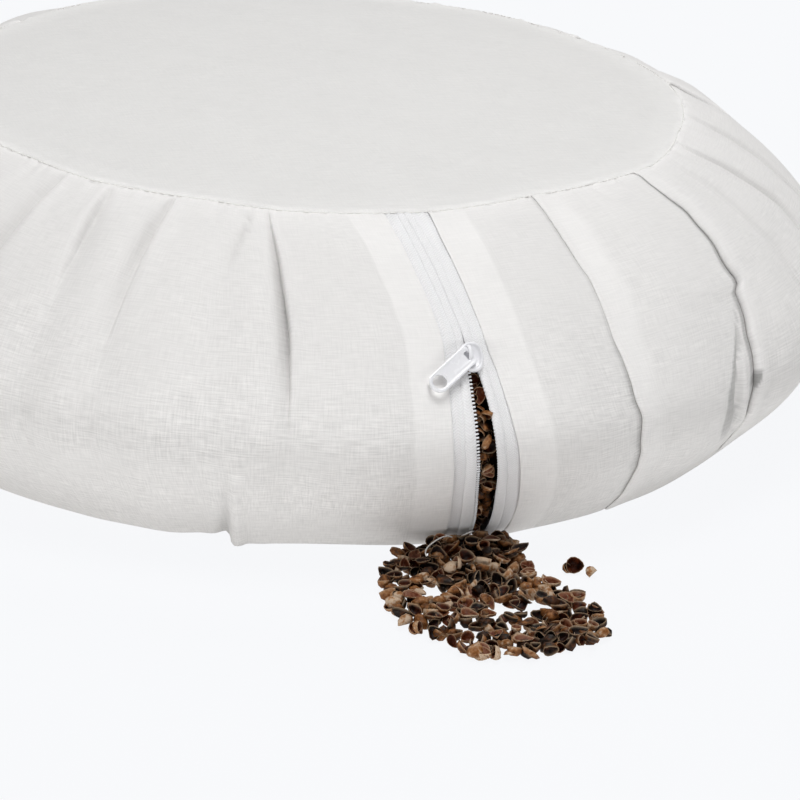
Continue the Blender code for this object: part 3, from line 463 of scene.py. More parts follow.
# Soft boxes, in metres and watts
Lamp = namedtuple("Lamp", "name place target size watts tint")
WHITE, WARM, MIDDLE = (1.0, 1.0, 1.0), (1.0, 0.995, 0.985), (0.0, 0.0, 0.05)
LAMPS = (
    Lamp("overhead", (0.0, -0.414, 1.595), MIDDLE, (0.9, 0.8), 17.8, WHITE),
    Lamp("low left", (-1.380, -0.797, 0.189), MIDDLE, (0.9, 0.25), 6.6, WARM),
    Lamp("low front", (-0.1, -1.5, 0.1), (0.0, 0.0, 0.03), (0.7, 0.15), 0.4, WHITE),
    Lamp("reflector card", (-0.12, -0.75, 0.05), (0.0, -0.15, 0.03), (0.4, 0.08), 0.22, WHITE),
    Lamp("low right", (0.797, -1.380, 0.189), MIDDLE, (0.9, 0.25), 3.5, WHITE),
    Lamp("behind", (0.514, 0.891, 1.276), MIDDLE, (0.9, 0.8), 9.7, WHITE),
)


# -------------------------------- tables and the skin
def blend(low, high, value):
    """0 below low, 1 above high and a smooth ramp between, for numbers and arrays."""
    share = np.clip((np.asarray(value, float) - low) / (high - low), 0.0, 1.0)
    return share * share * (3 - 2 * share)


def between(start, full, fading, end, value):
    """0 up to start, 1 from full to fading and 0 again from end, with smooth ramps."""
    return blend(start, full, value) * (1 - blend(fading, end, value))


def column(rows, name, value):
    """A named column of a table, read at values of its first column."""
    return np.interp(value, [row[0] for row in rows], [getattr(row, name) for row in rows])


def along(places):
    """Each place's distance along the line through them."""
    return np.concatenate([[0.0], np.cumsum(np.linalg.norm(np.diff(places, axis=0), axis=1))])


def band_outline():
    """Radius and height from the top seam round to the bottom seam."""
    steps = 90 * np.arange(ARC_STEPS + 1) / ARC_STEPS
    arcs = []
    for turn, power, radius, height in (
        (90 - steps, UPPER_POWER, SEAM_RADIUS, SEAM_HEIGHT), (steps[1:], FOOT_POWER, FOOT_RADIUS, 0)
    ):
        out = np.clip(np.cos(np.radians(turn)), 0, 1) ** power
        up = np.sin(np.radians(turn)) ** power
        arcs.append(np.stack([
            radius + (WIDEST_RADIUS - radius) * out, WIDEST_HEIGHT + (height - WIDEST_HEIGHT) * up
        ], 1))
    places = np.concatenate(arcs)
    distance = along(places)
    steps = np.linspace(0, distance[-1], round(distance[-1] / OUTLINE_STEP) + 1)
    even = np.stack([np.interp(steps, distance, places[:, axis]) for axis in (0, 1)], 1)
    for _ in range(SOFTEN_PASSES):
        even[1:-1] = (even[:-2] + 2 * even[1:-1] + even[2:]) / 4
    return np.vstack([even, [SEAM_RADIUS, 0.0]])


OUTLINE = band_outline()
OUTLINE_DOWN = along(OUTLINE)
BAND_LENGTH = OUTLINE_DOWN[-1]


def outline_at(down):
    return [np.interp(down, OUTLINE_DOWN, OUTLINE[:, axis]) for axis in (0, 1)]


def seam_strays(angle):
    return np.interp(np.mod(angle, 360), *zip(*SEAM_WAVER))


def skin(angle, down, lift=0.0):
    """Points on the band, in metres, or lift out of it; nothing goes below the floor."""
    angle, down, lift = np.broadcast_arrays(
        *(np.asarray(value, float) for value in (angle, down, lift))
    )
    radius, height = outline_at(down)
    above, below = outline_at(down - 2.0), outline_at(down + 2.0)
    run, drop = below[0] - above[0], below[1] - above[1]
    length = np.hypot(run, drop)
    strays = seam_strays(angle) * (1 - blend(0, SEAM_WAVER_REACH, down))
    radius = radius - drop / length * lift + strays
    height = np.maximum(height + run / length * lift, FLOOR_TOUCH)
    turn = np.radians(angle)
    return np.stack([radius * np.sin(turn), -radius * np.cos(turn), height], -1) * MM


def aside(down, distance):
    """The angle of a point that lies this far round the band from the zip's meridian."""
    return np.degrees(distance / outline_at(down)[0])


def on_band(across, downs, lift=0.0):
    """Rows of points in metres, one for each of downs, at their distances round the band."""
    down = np.broadcast_to(downs[:, None], across.shape)
    return skin(aside(down, across), down, lift)


def lattice(i, j, k, seed):
    """A repeatable number from -1 to 1 for each whole-numbered place."""
    mixed = (i * 374761393 + j * 668265263 + k * 1442695041 + seed * 1013904223) & 0xFFFFFFFF
    mixed = ((mixed ^ (mixed >> 13)) * 1274126177) & 0xFFFFFFFF
    return ((mixed ^ (mixed >> 16)) & 0xFFFFFF) / float(0x800000) - 1.0


def smooth_noise(points, grain, seed):
    """Soft noise from -1 to 1 at points in millimetres, with lumps about grain across."""
    scaled = np.asarray(points, float) / grain
    whole = np.floor(scaled).astype(np.int64)
    share = scaled - whole
    share = share * share * (3 - 2 * share)
    total = 0.0
    for corner in range(8):
        step = np.array([corner & 1, (corner >> 1) & 1, corner >> 2])
        weight = np.prod(np.where(step, share, 1 - share), axis=-1)
        total = total + weight * lattice(*np.moveaxis(whole + step, -1, 0), seed)
    return total


# -------------------------------- the cover's relief
def apart(angle, line):
    """The signed difference of two angles, from -180 to 180."""
    return (angle - line + 180.0) % 360.0 - 180.0


def bell(value):
    return np.exp(-(value ** 2))


def eased_column(rows, name, down, ease):
    """A column of a table with its corners rounded over a distance down."""
    steps = (-1, -0.5, 0, 0.5, 1)
    return np.mean([column(rows, name, down + ease * step) for step in steps], axis=0)


def across_gather(gather, angle, down, radius):
    """How far places lie across a gather towards its ridge, and its depth and width there."""
    line, depth, width = (
        eased_column(gather.rows, name, down, GATHER_EASE) for name in ("angle", "depth", "width")
    )
    return np.radians(apart(angle, line)) * radius * gather.ridge_side, depth, width


def gather_relief(angle, down, radius):
    relief = np.zeros_like(angle)
    for gather in GATHERS.values():
        across, depth, width = across_gather(gather, angle, down, radius)
        if gather.rows[0].down == 0:
            depth = depth * blend(0, 4, down)
        relief -= depth * bell(np.where(across < 0, across / width, across / gather.rise))
        beyond = (across - gather.rise - 0.5 * width) / (0.8 * width)
        relief += GATHER_RIDGE * depth * bell(beyond) * blend(0, gather.rise, across)
    return relief


def painted_shade_at(angle, down, radius):
    """How strongly painted shade darkens the cloth's colour here, from 0 to 1."""
    shade = np.zeros_like(angle)
    for gather in GATHERS.values():
        across, depth, width = across_gather(gather, angle, down, radius)
        share = np.where(across < 0, across / (0.8 * width), across / (0.7 * gather.rise))
        depth = np.clip(depth / max(row.depth for row in gather.rows), 0, 1)
        shade = np.maximum(shade, gather.shade * depth * bell(share))
    around = apart(angle, 0.0)
    for rows in PAINTED_SHADE_PATCHES.values():
        start, end, depth = (column(rows, name, down) for name in ("start", "end", "depth"))
        inside = np.prod(
            [blend(-PAINTED_SHADE_EDGE, PAINTED_SHADE_EDGE, past) for past in (around - start, end - around)], 0
        )
        shade = np.maximum(shade, depth * inside)
    places = np.stack([np.radians(angle) * SEAM_RADIUS, 7 * down, 0 * down], -1)
    level, grain, seed = SEAM_SHADE_SPECKS
    specks = blend(0.5, 0.85, smooth_noise(places, grain, seed)) * (1 - blend(0.5, 1.5, down))
    return np.maximum(shade, level * specks)


def puckers(draw, count, spans):
    """The angles of small creases round a seam, each with one value out of every span."""
    for number in range(count):
        line = 360 * (number + draw.uniform(-0.45, 0.45)) / count
        yield (line, *(draw.uniform(*span) for span in spans))


def pucker_relief(angle, down, radius, from_top):
    """Small creases where the cloth is gathered into a seam."""
    distance = down if from_top else BAND_LENGTH - down
    relief = np.zeros_like(angle)
    creases = puckers(random.Random(PUCKER_SEED + from_top), PUCKERS, PUCKER_SPANS)
    for line, depth, width, reach, slant in creases:
        if from_top and abs(apart(line, 0)) < CALM_HALF:
            depth *= CALM_SHARE
        across = np.radians(apart(angle, line)) * radius + slant * distance
        relief -= depth * np.exp(-((across / width) ** 2) - (distance / reach) ** 2)
    return relief * blend(-0.6, 1.4, distance)


def swell(angle, down):
    """The band's swell between each fold and the next."""
    lines = [column(rows, "angle", down) for rows in KNIFE_PLEATS.values()]
    at_seam = (gather.rows for gather in GATHERS.values() if gather.rows[0].down == 0)
    lines += [column(rows, "angle", down) for rows in at_seam]
    lines += [
        turn + aside(down, column(ZIP_ROWS, fold, down))
        for turn, fold in ((0, "right_fold"), (360, "left_fold"))
    ]
    lines = np.sort(np.stack([np.broadcast_to(line, down.shape) for line in lines]), axis=0)
    relief = np.zeros_like(angle)
    for start, end in zip(lines, lines[1:]):
        share = (angle - start) / (end - start)
        inside = (share > 0) & (share < 1)
        puff = np.sin(np.pi * np.clip(share, 0, 1)) ** PUFF_POWER
        relief += inside * (PUFF_PER_DEGREE * (end - start) * puff)
    return relief * between(*SWELL_SPAN, down)


def seam_roll(distance):
    """The groove at a seam and the soft roll of cloth beside it."""
    height, place, half = SEAM_ROLL
    groove = -SEAM_GROOVE * (1 - blend(0, SEAM_GROOVE_HALF, distance))
    return groove + height * bell((distance - place) / half)


def cover_relief(angle, down):
    radius = outline_at(down)[0]
    bare = skin(angle, down) / MM
    relief = gather_relief(angle, down, radius)
    relief += pucker_relief(angle, down, radius, True) + pucker_relief(angle, down, radius, False)
    relief += swell(np.mod(angle, 360), down)
    relief += seam_roll(down) + seam_roll(BAND_LENGTH - down)
    held = between(0, 12, BAND_LENGTH - 25, BAND_LENGTH, down)
    for height, grain, seed in LUMPS:
        relief += held * height * smooth_noise(bare, grain, seed)
    height, grain, seed = UPPER_CREASES
    creases = smooth_noise(bare * np.array([1.0, 1.0, 0.35]), grain, seed)
    return relief + height * between(*CREASE_SPAN, down) * creases


# -------------------------------- the cover's columns
def knife_columns(rows, downs):
    """Angle, lift, cloth length, doubling and painted shade across a knife pleat, each (rows,
    columns).
    """
    points = np.array(KNIFE_SECTION)
    fine = 1 if KNIFE_BACK[0] < rows[0].angle < KNIFE_BACK[1] else 2
    steps = np.linspace(0, len(points) - 1, (len(points) - 1) * fine + 1)
    flat, folded, sinks, stands, layer = smooth_columns(points, steps)
    stand, sink = (eased_column(rows, name, downs, 3.0) for name in ("stand", "sink"))
    folds = blend(0, 0.45, stand + sink)
    across = flat + (folded - flat) * folds[:, None]
    lift = folds[:, None] * (stands * stand[:, None] - sinks * sink[:, None] + layer)
    line = eased_column(rows, "angle", downs, 0.8)
    places = np.stack([line * 3, downs, np.zeros_like(downs)], -1)
    line = line + aside(downs, KNIFE_WAVER * smooth_noise(places, 6.5, 6) * blend(2, 10, downs))
    angle = line[:, None] + aside(downs[:, None], across)
    cloth = np.broadcast_to(along(np.stack([folded, layer], 1)), across.shape)
    lapped = (steps >= KNIFE_TOP_FROM) * np.clip((KNIFE_LAP - folded) / 2.0, 0, 1)
    # The slit of painted shade under the fold gapes wider where the cloth beside it sinks deeper
    gapes = (-0.9 - 1.0 * sink - 1.4 * blend(0.7, 1.1, sink))[:, None]
    slit = 0.2 * blend(-5.0, 0.0, folded) + 1.0 * blend(-0.5, 0.5, folded - gapes)
    hollow = (steps < KNIFE_UNDER_TO) * slit * blend(0.1, 1.1, stand + sink)[:, None]
    return angle, lift, cloth, LAP_DOUBLED * lapped * folds[:, None], hollow


def line_columns(rows, across, downs):
    """Plain columns that follow a line closely, so that its step comes out sharp."""
    line = eased_column(rows, "angle", downs, GATHER_EASE)
    angle = line[:, None] + aside(downs[:, None], across)
    plain = np.zeros(angle.shape)
    return angle, plain, np.broadcast_to(across - across[0], angle.shape), plain, plain


def smooth_columns(points, steps):
    """The columns of a table at steps between its rows, on a smooth curve through the rows."""
    count = len(points)
    whole = np.clip(np.floor(steps).astype(int), 0, count - 2)
    share = (steps - whole)[:, None]
    before, here = points[np.maximum(whole - 1, 0)], points[whole]
    there, after = points[whole + 1], points[np.minimum(whole + 2, count - 1)]
    curve = 0.5 * (
        2 * here + (there - before) * share
        + (2 * before - 5 * here + 4 * there - after) * share ** 2
        + (3 * here - before - 3 * there + after) * share ** 3
    )
    return curve.T


def placket_columns(side, downs):
    """The band's folded edge beside the zip; side is -1 for the left edge and 1 for the right."""
    fold = column(ZIP_ROWS, SIDES[side] + "_fold", downs)
    out, lift = np.array(PLACKET_SECTION).T
    angle = aside(downs[:, None], fold[:, None] + side * out)
    cloth = np.broadcast_to(along(np.array(PLACKET_SECTION)), angle.shape)
    lift = np.broadcast_to(lift, angle.shape) * blend(-1, 6, downs)[:, None]
    doubled, hollow = np.full(angle.shape, FOLD_DOUBLED), np.zeros(angle.shape)
    if side > 0:
        return angle, lift, cloth, doubled, hollow
    flip = slice(None, None, -1)
    return angle[:, flip] + 360, lift[:, flip], cloth[:, -1:] - cloth[:, flip], doubled, hollow


def plain_columns(start, end):
    """Where plain columns stand between two groups, as shares; they are closer at the front."""
    step = 0.25
    angles = np.arange(-5.0, 365.0, step)
    near = np.abs(apart(angles, COLUMN_MIDDLE)) < COLUMN_REACH
    packed = np.cumsum(step / np.where(near, COLUMN_FRONT, COLUMN_BACK))
    low, high = np.interp([start, end], angles, packed)
    count = max(3, round(high - low))
    steps = low + (high - low) * np.arange(1, count + 1) / (count + 1)
    return (np.interp(steps, packed, angles) - start) / (end - start)


def cover_grid(downs):
    """Angle, lift, cloth length, doubling and painted shade of every point of the cover."""
    groups = [placket_columns(1, downs)]
    groups += [knife_columns(rows, downs) for rows in KNIFE_PLEATS.values()]
    for gather in (GATHERS[name] for name in LINED_GATHERS):
        across = gather.ridge_side * np.array(GATHER_COLUMNS)[:: gather.ridge_side]
        groups.append(line_columns(gather.rows, across, downs))
    groups.append(line_columns(WEDGE_GUIDE, np.array(WEDGE_COLUMNS), downs))
    groups.append(placket_columns(-1, downs))
    groups.sort(key=lambda group: group[0][0, 0])
    length = np.zeros((len(downs), 1))
    set_out = []
    for angle, lift, cloth, doubled, hollow in groups:
        if set_out:
            start, end = set_out[-1][0][:, -1:], angle[:, :1]
            share = plain_columns(float(start.mean()), float(end.mean()))
            plain = np.zeros((len(downs), len(share)))
            width = (np.radians(end - start) * OUTLINE[:, 0].max()).mean()
            between = start + (end - start) * share
            set_out.append((between, plain, length + width * share, plain, plain))
            length = length + width
        set_out.append((angle, lift, length + cloth, doubled, hollow))
        length = length + cloth[:, -1:]
    return [np.concatenate(parts, axis=1) for parts in zip(*set_out)]


def doubled_bands(angle, down):
    """How far the cloth is doubled here, from 0 to 1."""
    angle = apart(angle, 0.0)
    allowance = 1 - blend(SEAM_ALLOWANCE - 6.5, SEAM_ALLOWANCE + 1.5, down)
    doubled = ALLOWANCE_DOUBLED * allowance + SEAM_DOUBLED * (1 - blend(0.6, 2.8, down))
    for rows in DOUBLED_BANDS.values():
        start, end = column(rows, "start", down), column(rows, "end", down)
        inside = blend(-1.0, 1.0, angle - start) * blend(-1.0, 1.0, end - angle)
        fade = 0.3 * blend(60, 120, down) + 0.4 * blend(112, 140, down) * (start > 10)
        doubled = np.maximum(doubled, inside * (FOLD_DOUBLED - fade))
    return doubled


def band_downs():
    """How far down the cover's rows lie: close at the seams and where the wedge's tuck is."""
    wall = [(18, 72, 2.0), (72, 84, 1.1), (85, BAND_LENGTH - 16, 2.0)]
    foot = np.linspace(BAND_LENGTH - 14, BAND_LENGTH, 9)
    return np.concatenate([ROWS_AT_SEAM, *(np.arange(*span) for span in wall), foot])


# -------------------------------- meshes and pieces
def grid_mesh(name, points, loops=False):
    """A sheet of quads through rows of points; with loops, each row closes on itself."""
    rows, count = points.shape[:2]
    number = np.arange(rows * count).reshape(rows, count)
    if loops:
        number = np.concatenate([number, number[:, :1]], axis=1)
    faces = np.stack([number[:-1, :-1], number[1:, :-1], number[1:, 1:], number[:-1, 1:]], -1)
    mesh = bpy.data.meshes.new(name)
    mesh.from_pydata(points.reshape(-1, 3).tolist(), [], faces.reshape(-1, 4).tolist())
    mesh.update()
    return mesh


@contextmanager
def edited(mesh):
    """A mesh opened for editing, and written back."""
    shape = bmesh.new()
    shape.from_mesh(mesh)
    yield shape
    shape.to_mesh(mesh)
    shape.free()


def give_weave(mesh, across, down):
    """A UV map in metres of cloth: u along the threads round the piece and v down it."""
    layer = mesh.uv_layers.new(name="cloth")
    corner = np.empty(len(mesh.loops), np.int32)
    mesh.loops.foreach_get("vertex_index", corner)
    places = np.stack([across.ravel()[corner], down.ravel()[corner]], -1) * MM
    layer.data.foreach_set("uv", places.astype(np.float32).ravel())


def give(mesh, name, values, kind="FLOAT"):
    """Values for the mesh's points, under a name that finishes and trees read."""
    attribute = mesh.attributes.new(name, kind, "POINT")
    values = np.asarray(values, np.int32 if kind == "INT" else np.float32)
    attribute.data.foreach_set("vector" if kind == "FLOAT_VECTOR" else "value", values.ravel())


def added(name, data):
    """A new object in the scene."""
    piece = bpy.data.objects.new(name, data)
    bpy.context.scene.collection.objects.link(piece)
    return piece


def baked(maker, *helpers):
    """The plain mesh that an object's modifiers make; the object and its helpers go."""
    bpy.context.view_layer.update()
    ready = maker.evaluated_get(bpy.context.evaluated_depsgraph_get())
    mesh = bpy.data.meshes.new_from_object(ready)
    for used in (maker, *helpers):
        bpy.data.objects.remove(used)
    return mesh


def finished(name, mesh, finish, slot, *replaced):
    """An object for a made mesh, riding on the frame in place of the nodes that it stands for."""
    mesh.materials.clear()
    mesh.materials.append(finish)
    mesh.shade_smooth()
    piece = added(name, mesh)
    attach(piece, "root")
    if replaced:
        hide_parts(*replaced)
    return piece


# -------------------------------- the cloth
def muslin_cover(finish):
    """The pleated side band: one filled cover with its folded edges beside the zip."""
    downs = band_downs()
    angle, lift, cloth, doubled, hollow = cover_grid(downs)
    down = np.broadcast_to(downs[:, None], angle.shape).copy()
    points = skin(angle, down, lift + cover_relief(angle, down))
    tucks = []
    for row, inward, rise in SEAM_TUCKS:
        tuck = points[row].copy()
        tuck[:, :2] *= 1 - inward / SEAM_RADIUS
        tuck[:, 2] += rise * MM
        tucks.append(tuck[None])
    mesh = grid_mesh("muslin_cover", np.concatenate([tucks[0], points, tucks[1]]))
    doubled = np.maximum(doubled, doubled_bands(angle, down))
    sheer = (0.25 + 0.75 * blend(20, 95, down)) * (1 - 0.85 * doubled)
    # Painted shade: the cloth's colour is darkened in gathers' troughs, under knife folds, in the
    # patches and in specks at the top seam
    hollow = np.maximum(hollow, painted_shade_at(angle, down, outline_at(down)[0]))
    rows = np.r_[0, np.arange(len(downs)), len(downs) - 1]
    give_weave(mesh, cloth[rows], down[rows])
    for name, values in (("doubled", doubled), ("sheer", sheer), ("hollow", hollow)):
        give(mesh, name, values[rows])
    cover = finished("muslin_cover", mesh, finish, "cotton muslin", "side_band")


def top_cloth(finish):
    """The round top panel: a slightly crowned cloth, pulled down into the seam at its rim."""
    angles = np.arange(0, 360, 0.9)
    inside = np.concatenate([RINGS_AT_RIM, np.geomspace(*RINGS_INSIDE)])[:, None]
    rim = SEAM_RADIUS + seam_strays(angles)
    radius = rim * (1 - inside / SEAM_RADIUS)
    turn = np.radians(angles)
    x, y = radius * np.sin(turn), -radius * np.cos(turn)
    flat = np.stack([x, y, np.zeros_like(x)], -1)
    height, grain, seed = TOP_LUMPS
    lift = seam_roll(inside) + height * smooth_noise(flat, grain, seed) * blend(0, 25, inside)
    creases = puckers(random.Random(PUCKER_SEED + 7), TOP_PUCKERS, TOP_PUCKER_SPANS)
    for line, depth, width, reach in creases:
        across = np.radians(apart(angles, line)) * radius
        lift -= depth * np.exp(-((across / width) ** 2) - (inside / reach) ** 2)
    height, grain, seed = RIM_LUMPS
    lift += height * smooth_noise(flat, grain, seed) * bell(inside / 2.2)
    height = SEAM_HEIGHT + CROWN * (1 - (radius / rim) ** 2) + lift
    points = np.stack([x, y, height], -1)[::-1] * MM
    tuck = points[-1:] - np.array([0, 0, 1.4]) * MM
    mesh = grid_mesh("top_cloth", np.concatenate([points, tuck]), loops=True)
    with edited(mesh) as shape:
        middle = shape.verts.new((0, 0, (SEAM_HEIGHT + CROWN) * MM))
        shape.verts.ensure_lookup_table()
        for number in range(len(angles)):
            follows = (number + 1) % len(angles)
            shape.faces.new((shape.verts[number], shape.verts[follows], middle))
        bmesh.ops.recalc_face_normals(shape, faces=shape.faces)
        if sum(face.normal.z for face in shape.faces) < 0:
            bmesh.ops.reverse_faces(shape, faces=shape.faces)
    places = np.array([vertex.co for vertex in mesh.vertices], float) / MM
    x, y = places[:, 0], places[:, 1]
    give_weave(mesh, x, y)
    from_rim = SEAM_RADIUS + seam_strays(np.degrees(np.arctan2(x, -y))) - np.hypot(x, y)
    seamed = 0.35 * (1 - blend(SEAM_ALLOWANCE - 7, SEAM_ALLOWANCE + 4, from_rim))
    give(mesh, "doubled", seamed + SEAM_DOUBLED * (1 - blend(0.5, 2.4, from_rim)))
    give(mesh, "sheer", np.full(len(places), TOP_SHEER))
    cloth = finished("top_cloth", mesh, finish, "cotton muslin", "top_panel")


# -------------------------------- the zip
def tape_cloth(name, side, finish, *replaced):
    """One woven tape: flat from under the folded edge, with a smooth roll over its coil."""
    downs = np.arange(-1.5, 152.0, 0.9)
    fold, line, edge = (
        column(ZIP_ROWS, f"{SIDES[side]}_{place}", downs) for place in ("fold", "line", "edge")
    )
    edge = edge + side * 0.08
    section = [(fold + side * out, lift) for out, lift in ((TAPE_HIDDEN, -0.10), *TAPE_AT_FOLD)]
    for share in (0.0, 0.25, 0.5, 0.75, 0.93):
        section.append((fold + (line - fold) * share, 0.06 * math.sin(math.pi * share)))
    section.append((line + side * 0.16, -0.02))
    for step in range(ROLL_STEPS + 1):
        turn = math.pi * step / ROLL_STEPS
        place = line + (edge - line) * (0.5 - 0.5 * math.cos(turn))
        section.append((place, -0.12 + ROLL_RISE * math.sin(turn) ** 0.75))
    for place in (edge, line + (edge - line) * 0.6, line, fold):
        section.append((place, -TAPE_THICK))
    section.append((fold + side * TAPE_HIDDEN, -0.1 - TAPE_THICK))
    across = np.stack([place for place, _ in section], 1)
    lifts = np.array([lift for _, lift in section])
    closed = 1 - 0.45 * (1 - blend(46, 60, downs))[:, None]
    meshed = np.arange(len(lifts)) == ROLL_EDGE_COLUMN
    lift = TAPE_LIFT + lifts * np.where(lifts > 0, closed, 1.0)
    lift = lift + 0.3 * meshed * (1 - blend(46, 54, downs))[:, None]
    around = along(np.stack([across[20], lift[20]], 1))
    mesh = grid_mesh(name, on_band(across, downs, lift)[:, ::side], loops=True)
    down = np.broadcast_to(downs[:, None], across.shape)
    give_weave(mesh, np.broadcast_to(around[::side], across.shape), down)
    with edited(mesh) as shape:
        bmesh.ops.recalc_face_normals(shape, faces=shape.faces)
    finished(name, mesh, finish, "zip tape", *replaced)


# -------------------------------- node trees
class Nodes:
    """A node tree, with short calls that take plain values or what other nodes put out."""

    def __init__(self, tree):
        self.tree = tree

    def feed(self, value, socket):
        """A link from another node's socket, or a plain value."""
        if isinstance(value, bpy.types.NodeSocket):
            self.tree.links.new(value, socket)
        else:
            socket.default_value = (*value, 1.0) if socket.type == "RGBA" else value

    def node(self, kind, given=(), **settings):
        """A new node with its settings, and what each socket in given is fed."""
        node = self.tree.nodes.new(kind)
        for name, value in settings.items():
            setattr(node, name, value)
        for socket, value in dict(given).items():
            self.feed(value, node.inputs[socket])
        return node

    def math(self, operation, *values):
        return self.node("ShaderNodeMath", enumerate(values), operation=operation).outputs[0]

    def plus(self, base, value, gain):
        """base + value * gain"""
        return self.math("ADD", base, self.math("MULTIPLY", value, gain))

    def mixed(self, low, high, factor):
        """A colour between two, by a mask."""
        return self.node("ShaderNodeMix", {0: factor, 6: low, 7: high}, data_type="RGBA").outputs[2]

    def shaded(self, colour, shade):
        return self.node(
            "ShaderNodeVectorMath", {0: colour, "Scale": shade}, operation="SCALE"
        ).outputs[0]

    def attribute(self, name):
        return self.node("ShaderNodeAttribute", attribute_name=name).outputs["Fac"]

    def mottle(self, place, scale, detail=2.0):
        """A noise's value over a place that is stretched by scale, one number or three."""
        scale = scale if isinstance(scale, tuple) else (scale,) * 3
        place = self.node("ShaderNodeMapping", {"Vector": place, "Scale": scale}).outputs[0]
        given = {"Vector": place, "Scale": 1.0, "Detail": detail}
        return self.node("ShaderNodeTexNoise", given).outputs["Fac"]


# -------------------------------- geometry nodes for what repeats
def new_tree(name, **inputs):
    """A geometry node tree for a mesh, with named inputs of their kinds: its nodes and inputs."""
    nodes = Nodes(bpy.data.node_groups.new(name, "GeometryNodeTree"))
    interface = nodes.tree.interface
    for label, kind in {"Geometry": "Geometry", **inputs}.items():
        interface.new_socket(label, in_out="INPUT", socket_type="NodeSocket" + kind)
    interface.new_socket("Geometry", in_out="OUTPUT", socket_type="NodeSocketGeometry")
    return nodes, nodes.node("NodeGroupInput").outputs


def carried(nodes, name, kind):
    """What the mesh's points carry under a name."""
    node = nodes.node("GeometryNodeInputNamedAttribute", {"Name": name}, data_type=kind)
    return node.outputs["Attribute"]


def set_on_points(nodes, finish, inputs):
    """Ends a tree: its copies on points, as a plain mesh with its finish."""
    placed = nodes.node("GeometryNodeInstanceOnPoints", inputs)
    plain = nodes.node("GeometryNodeRealizeInstances", {"Geometry": placed.outputs["Instances"]})
    dressed = nodes.node(
        "GeometryNodeSetMaterial", {"Geometry": plain.outputs["Geometry"], "Material": finish}
    )
    nodes.node("NodeGroupOutput", {"Geometry": dressed.outputs["Geometry"]})
    return nodes.tree


def row_tree():
    """Small rounded blocks set along a path, square to it and facing out of the cloth."""
    nodes, given = new_tree("row of blocks", Pitch="Float", Size="Vector", Finish="Material")
    curve = nodes.node("GeometryNodeMeshToCurve", {"Mesh": given["Geometry"]}).outputs["Curve"]
    spaced = nodes.node(
        "GeometryNodeResampleCurve", {"Curve": curve, "Length": given["Pitch"]}, mode="LENGTH"
    )
    block = nodes.node("GeometryNodeMeshCube", {"Size": given["Size"]}).outputs["Mesh"]
    rounded = nodes.node(
        "GeometryNodeSubdivisionSurface", {"Mesh": block, "Level": 1, "Edge Crease": 0.35}
    )
    outward = nodes.node(
        "FunctionNodeAlignEulerToVector",
        {"Vector": carried(nodes, "outward", "FLOAT_VECTOR")}, axis="Z",
    )
    ahead = nodes.node("GeometryNodeInputTangent").outputs["Tangent"]
    forward = nodes.node(
        "FunctionNodeAlignEulerToVector",
        {"Rotation": outward.outputs["Rotation"], "Vector": ahead}, axis="X", pivot_axis="Z",
    )
    return set_on_points(nodes, given["Finish"], {
        "Points": spaced.outputs["Curve"], "Instance": rounded.outputs["Mesh"],
        "Rotation": forward.outputs["Rotation"],
    })


def scatter_tree():
    """Hulls set on points, each with its own kind, turn, size and tone."""
    nodes, given = new_tree("scattered hulls", Kinds="Collection", Finish="Material")
    kinds = nodes.node("GeometryNodeCollectionInfo", {
        "Separate Children": True, "Reset Children": True, "Collection": given["Kinds"],
    })
    turn = nodes.node(
        "FunctionNodeEulerToRotation", {"Euler": carried(nodes, "turn", "FLOAT_VECTOR")}
    )
    return set_on_points(nodes, given["Finish"], {
        "Points": given["Geometry"], "Pick Instance": True, "Instance": kinds.outputs["Instances"],
        "Instance Index": carried(nodes, "kind", "INT"), "Rotation": turn.outputs["Rotation"],
        "Scale": carried(nodes, "size", "FLOAT"),
    })


def grown(mesh, tree, values):
    """The plain mesh that a tree makes of a mesh; values are its inputs by their labels."""
    maker = added("maker", mesh)
    modifier = maker.modifiers.new("grow", "NODES")
    modifier.node_group = tree
    for socket in tree.interface.items_tree:
        if socket.item_type == "SOCKET" and socket.in_out == "INPUT" and socket.name in values:
            modifier[socket.identifier] = values[socket.name]
    return baked(maker)


def row_of_blocks(name, tree, points, outwards, pitch, size, finish, slot, *replaced):
    """Blocks along points in metres, with the way out of the cloth at each."""
    mesh = bpy.data.meshes.new("path")
    mesh.from_pydata(points.tolist(), [(n, n + 1) for n in range(len(points) - 1)], [])
    give(mesh, "outward", outwards, "FLOAT_VECTOR")
    values = {"Pitch": pitch * MM, "Size": [value * MM for value in size], "Finish": finish}
    finished(name, grown(mesh, tree, values), finish, slot, *replaced)


def coil_teeth(name, side, tree, finish, *replaced):
    """The coil's teeth along the tape's inner edge."""
    downs = np.arange(TEETH_FROM, TEETH_TO, 0.8)
    # The left tape's teeth show past its edge, higher near the slider; the right tape's lie behind
    inward = 0.2 + 0.2 * blend(66, 108, downs) if side < 0 else -0.35
    lift = TAPE_LIFT + (0.3 - 0.35 * blend(80, 112, downs) if side < 0 else -0.1)
    angles = aside(downs, column(ZIP_ROWS, SIDES[side] + "_edge", downs) - side * inward)
    points = skin(angles, downs, lift)
    outwards = skin(angles, downs, lift + 1.0) - points
    row_of_blocks(
        name, tree, points, outwards, TOOTH_PITCH, TOOTH_SIZE, finish, "nylon coil", *replaced
    )


def seam_stitches(name, tree, finish):
    """The thread that shows, sunk in the top seam."""
    angles = np.arange(0, 360.5, 1.0)
    radius = SEAM_RADIUS + seam_strays(angles)
    turn = np.radians(angles)
    height = np.full_like(turn, SEAM_HEIGHT - SEAM_GROOVE + STITCH_LIFT)
    points = np.stack([radius * np.sin(turn), -radius * np.cos(turn), height], -1) * MM
    outwards = np.tile((0.0, 0.0, 1.0), (len(points), 1))
    row_of_blocks(
        name, tree, points, outwards, STITCH_PITCH, STITCH_SIZE, finish, "cotton muslin"
    )


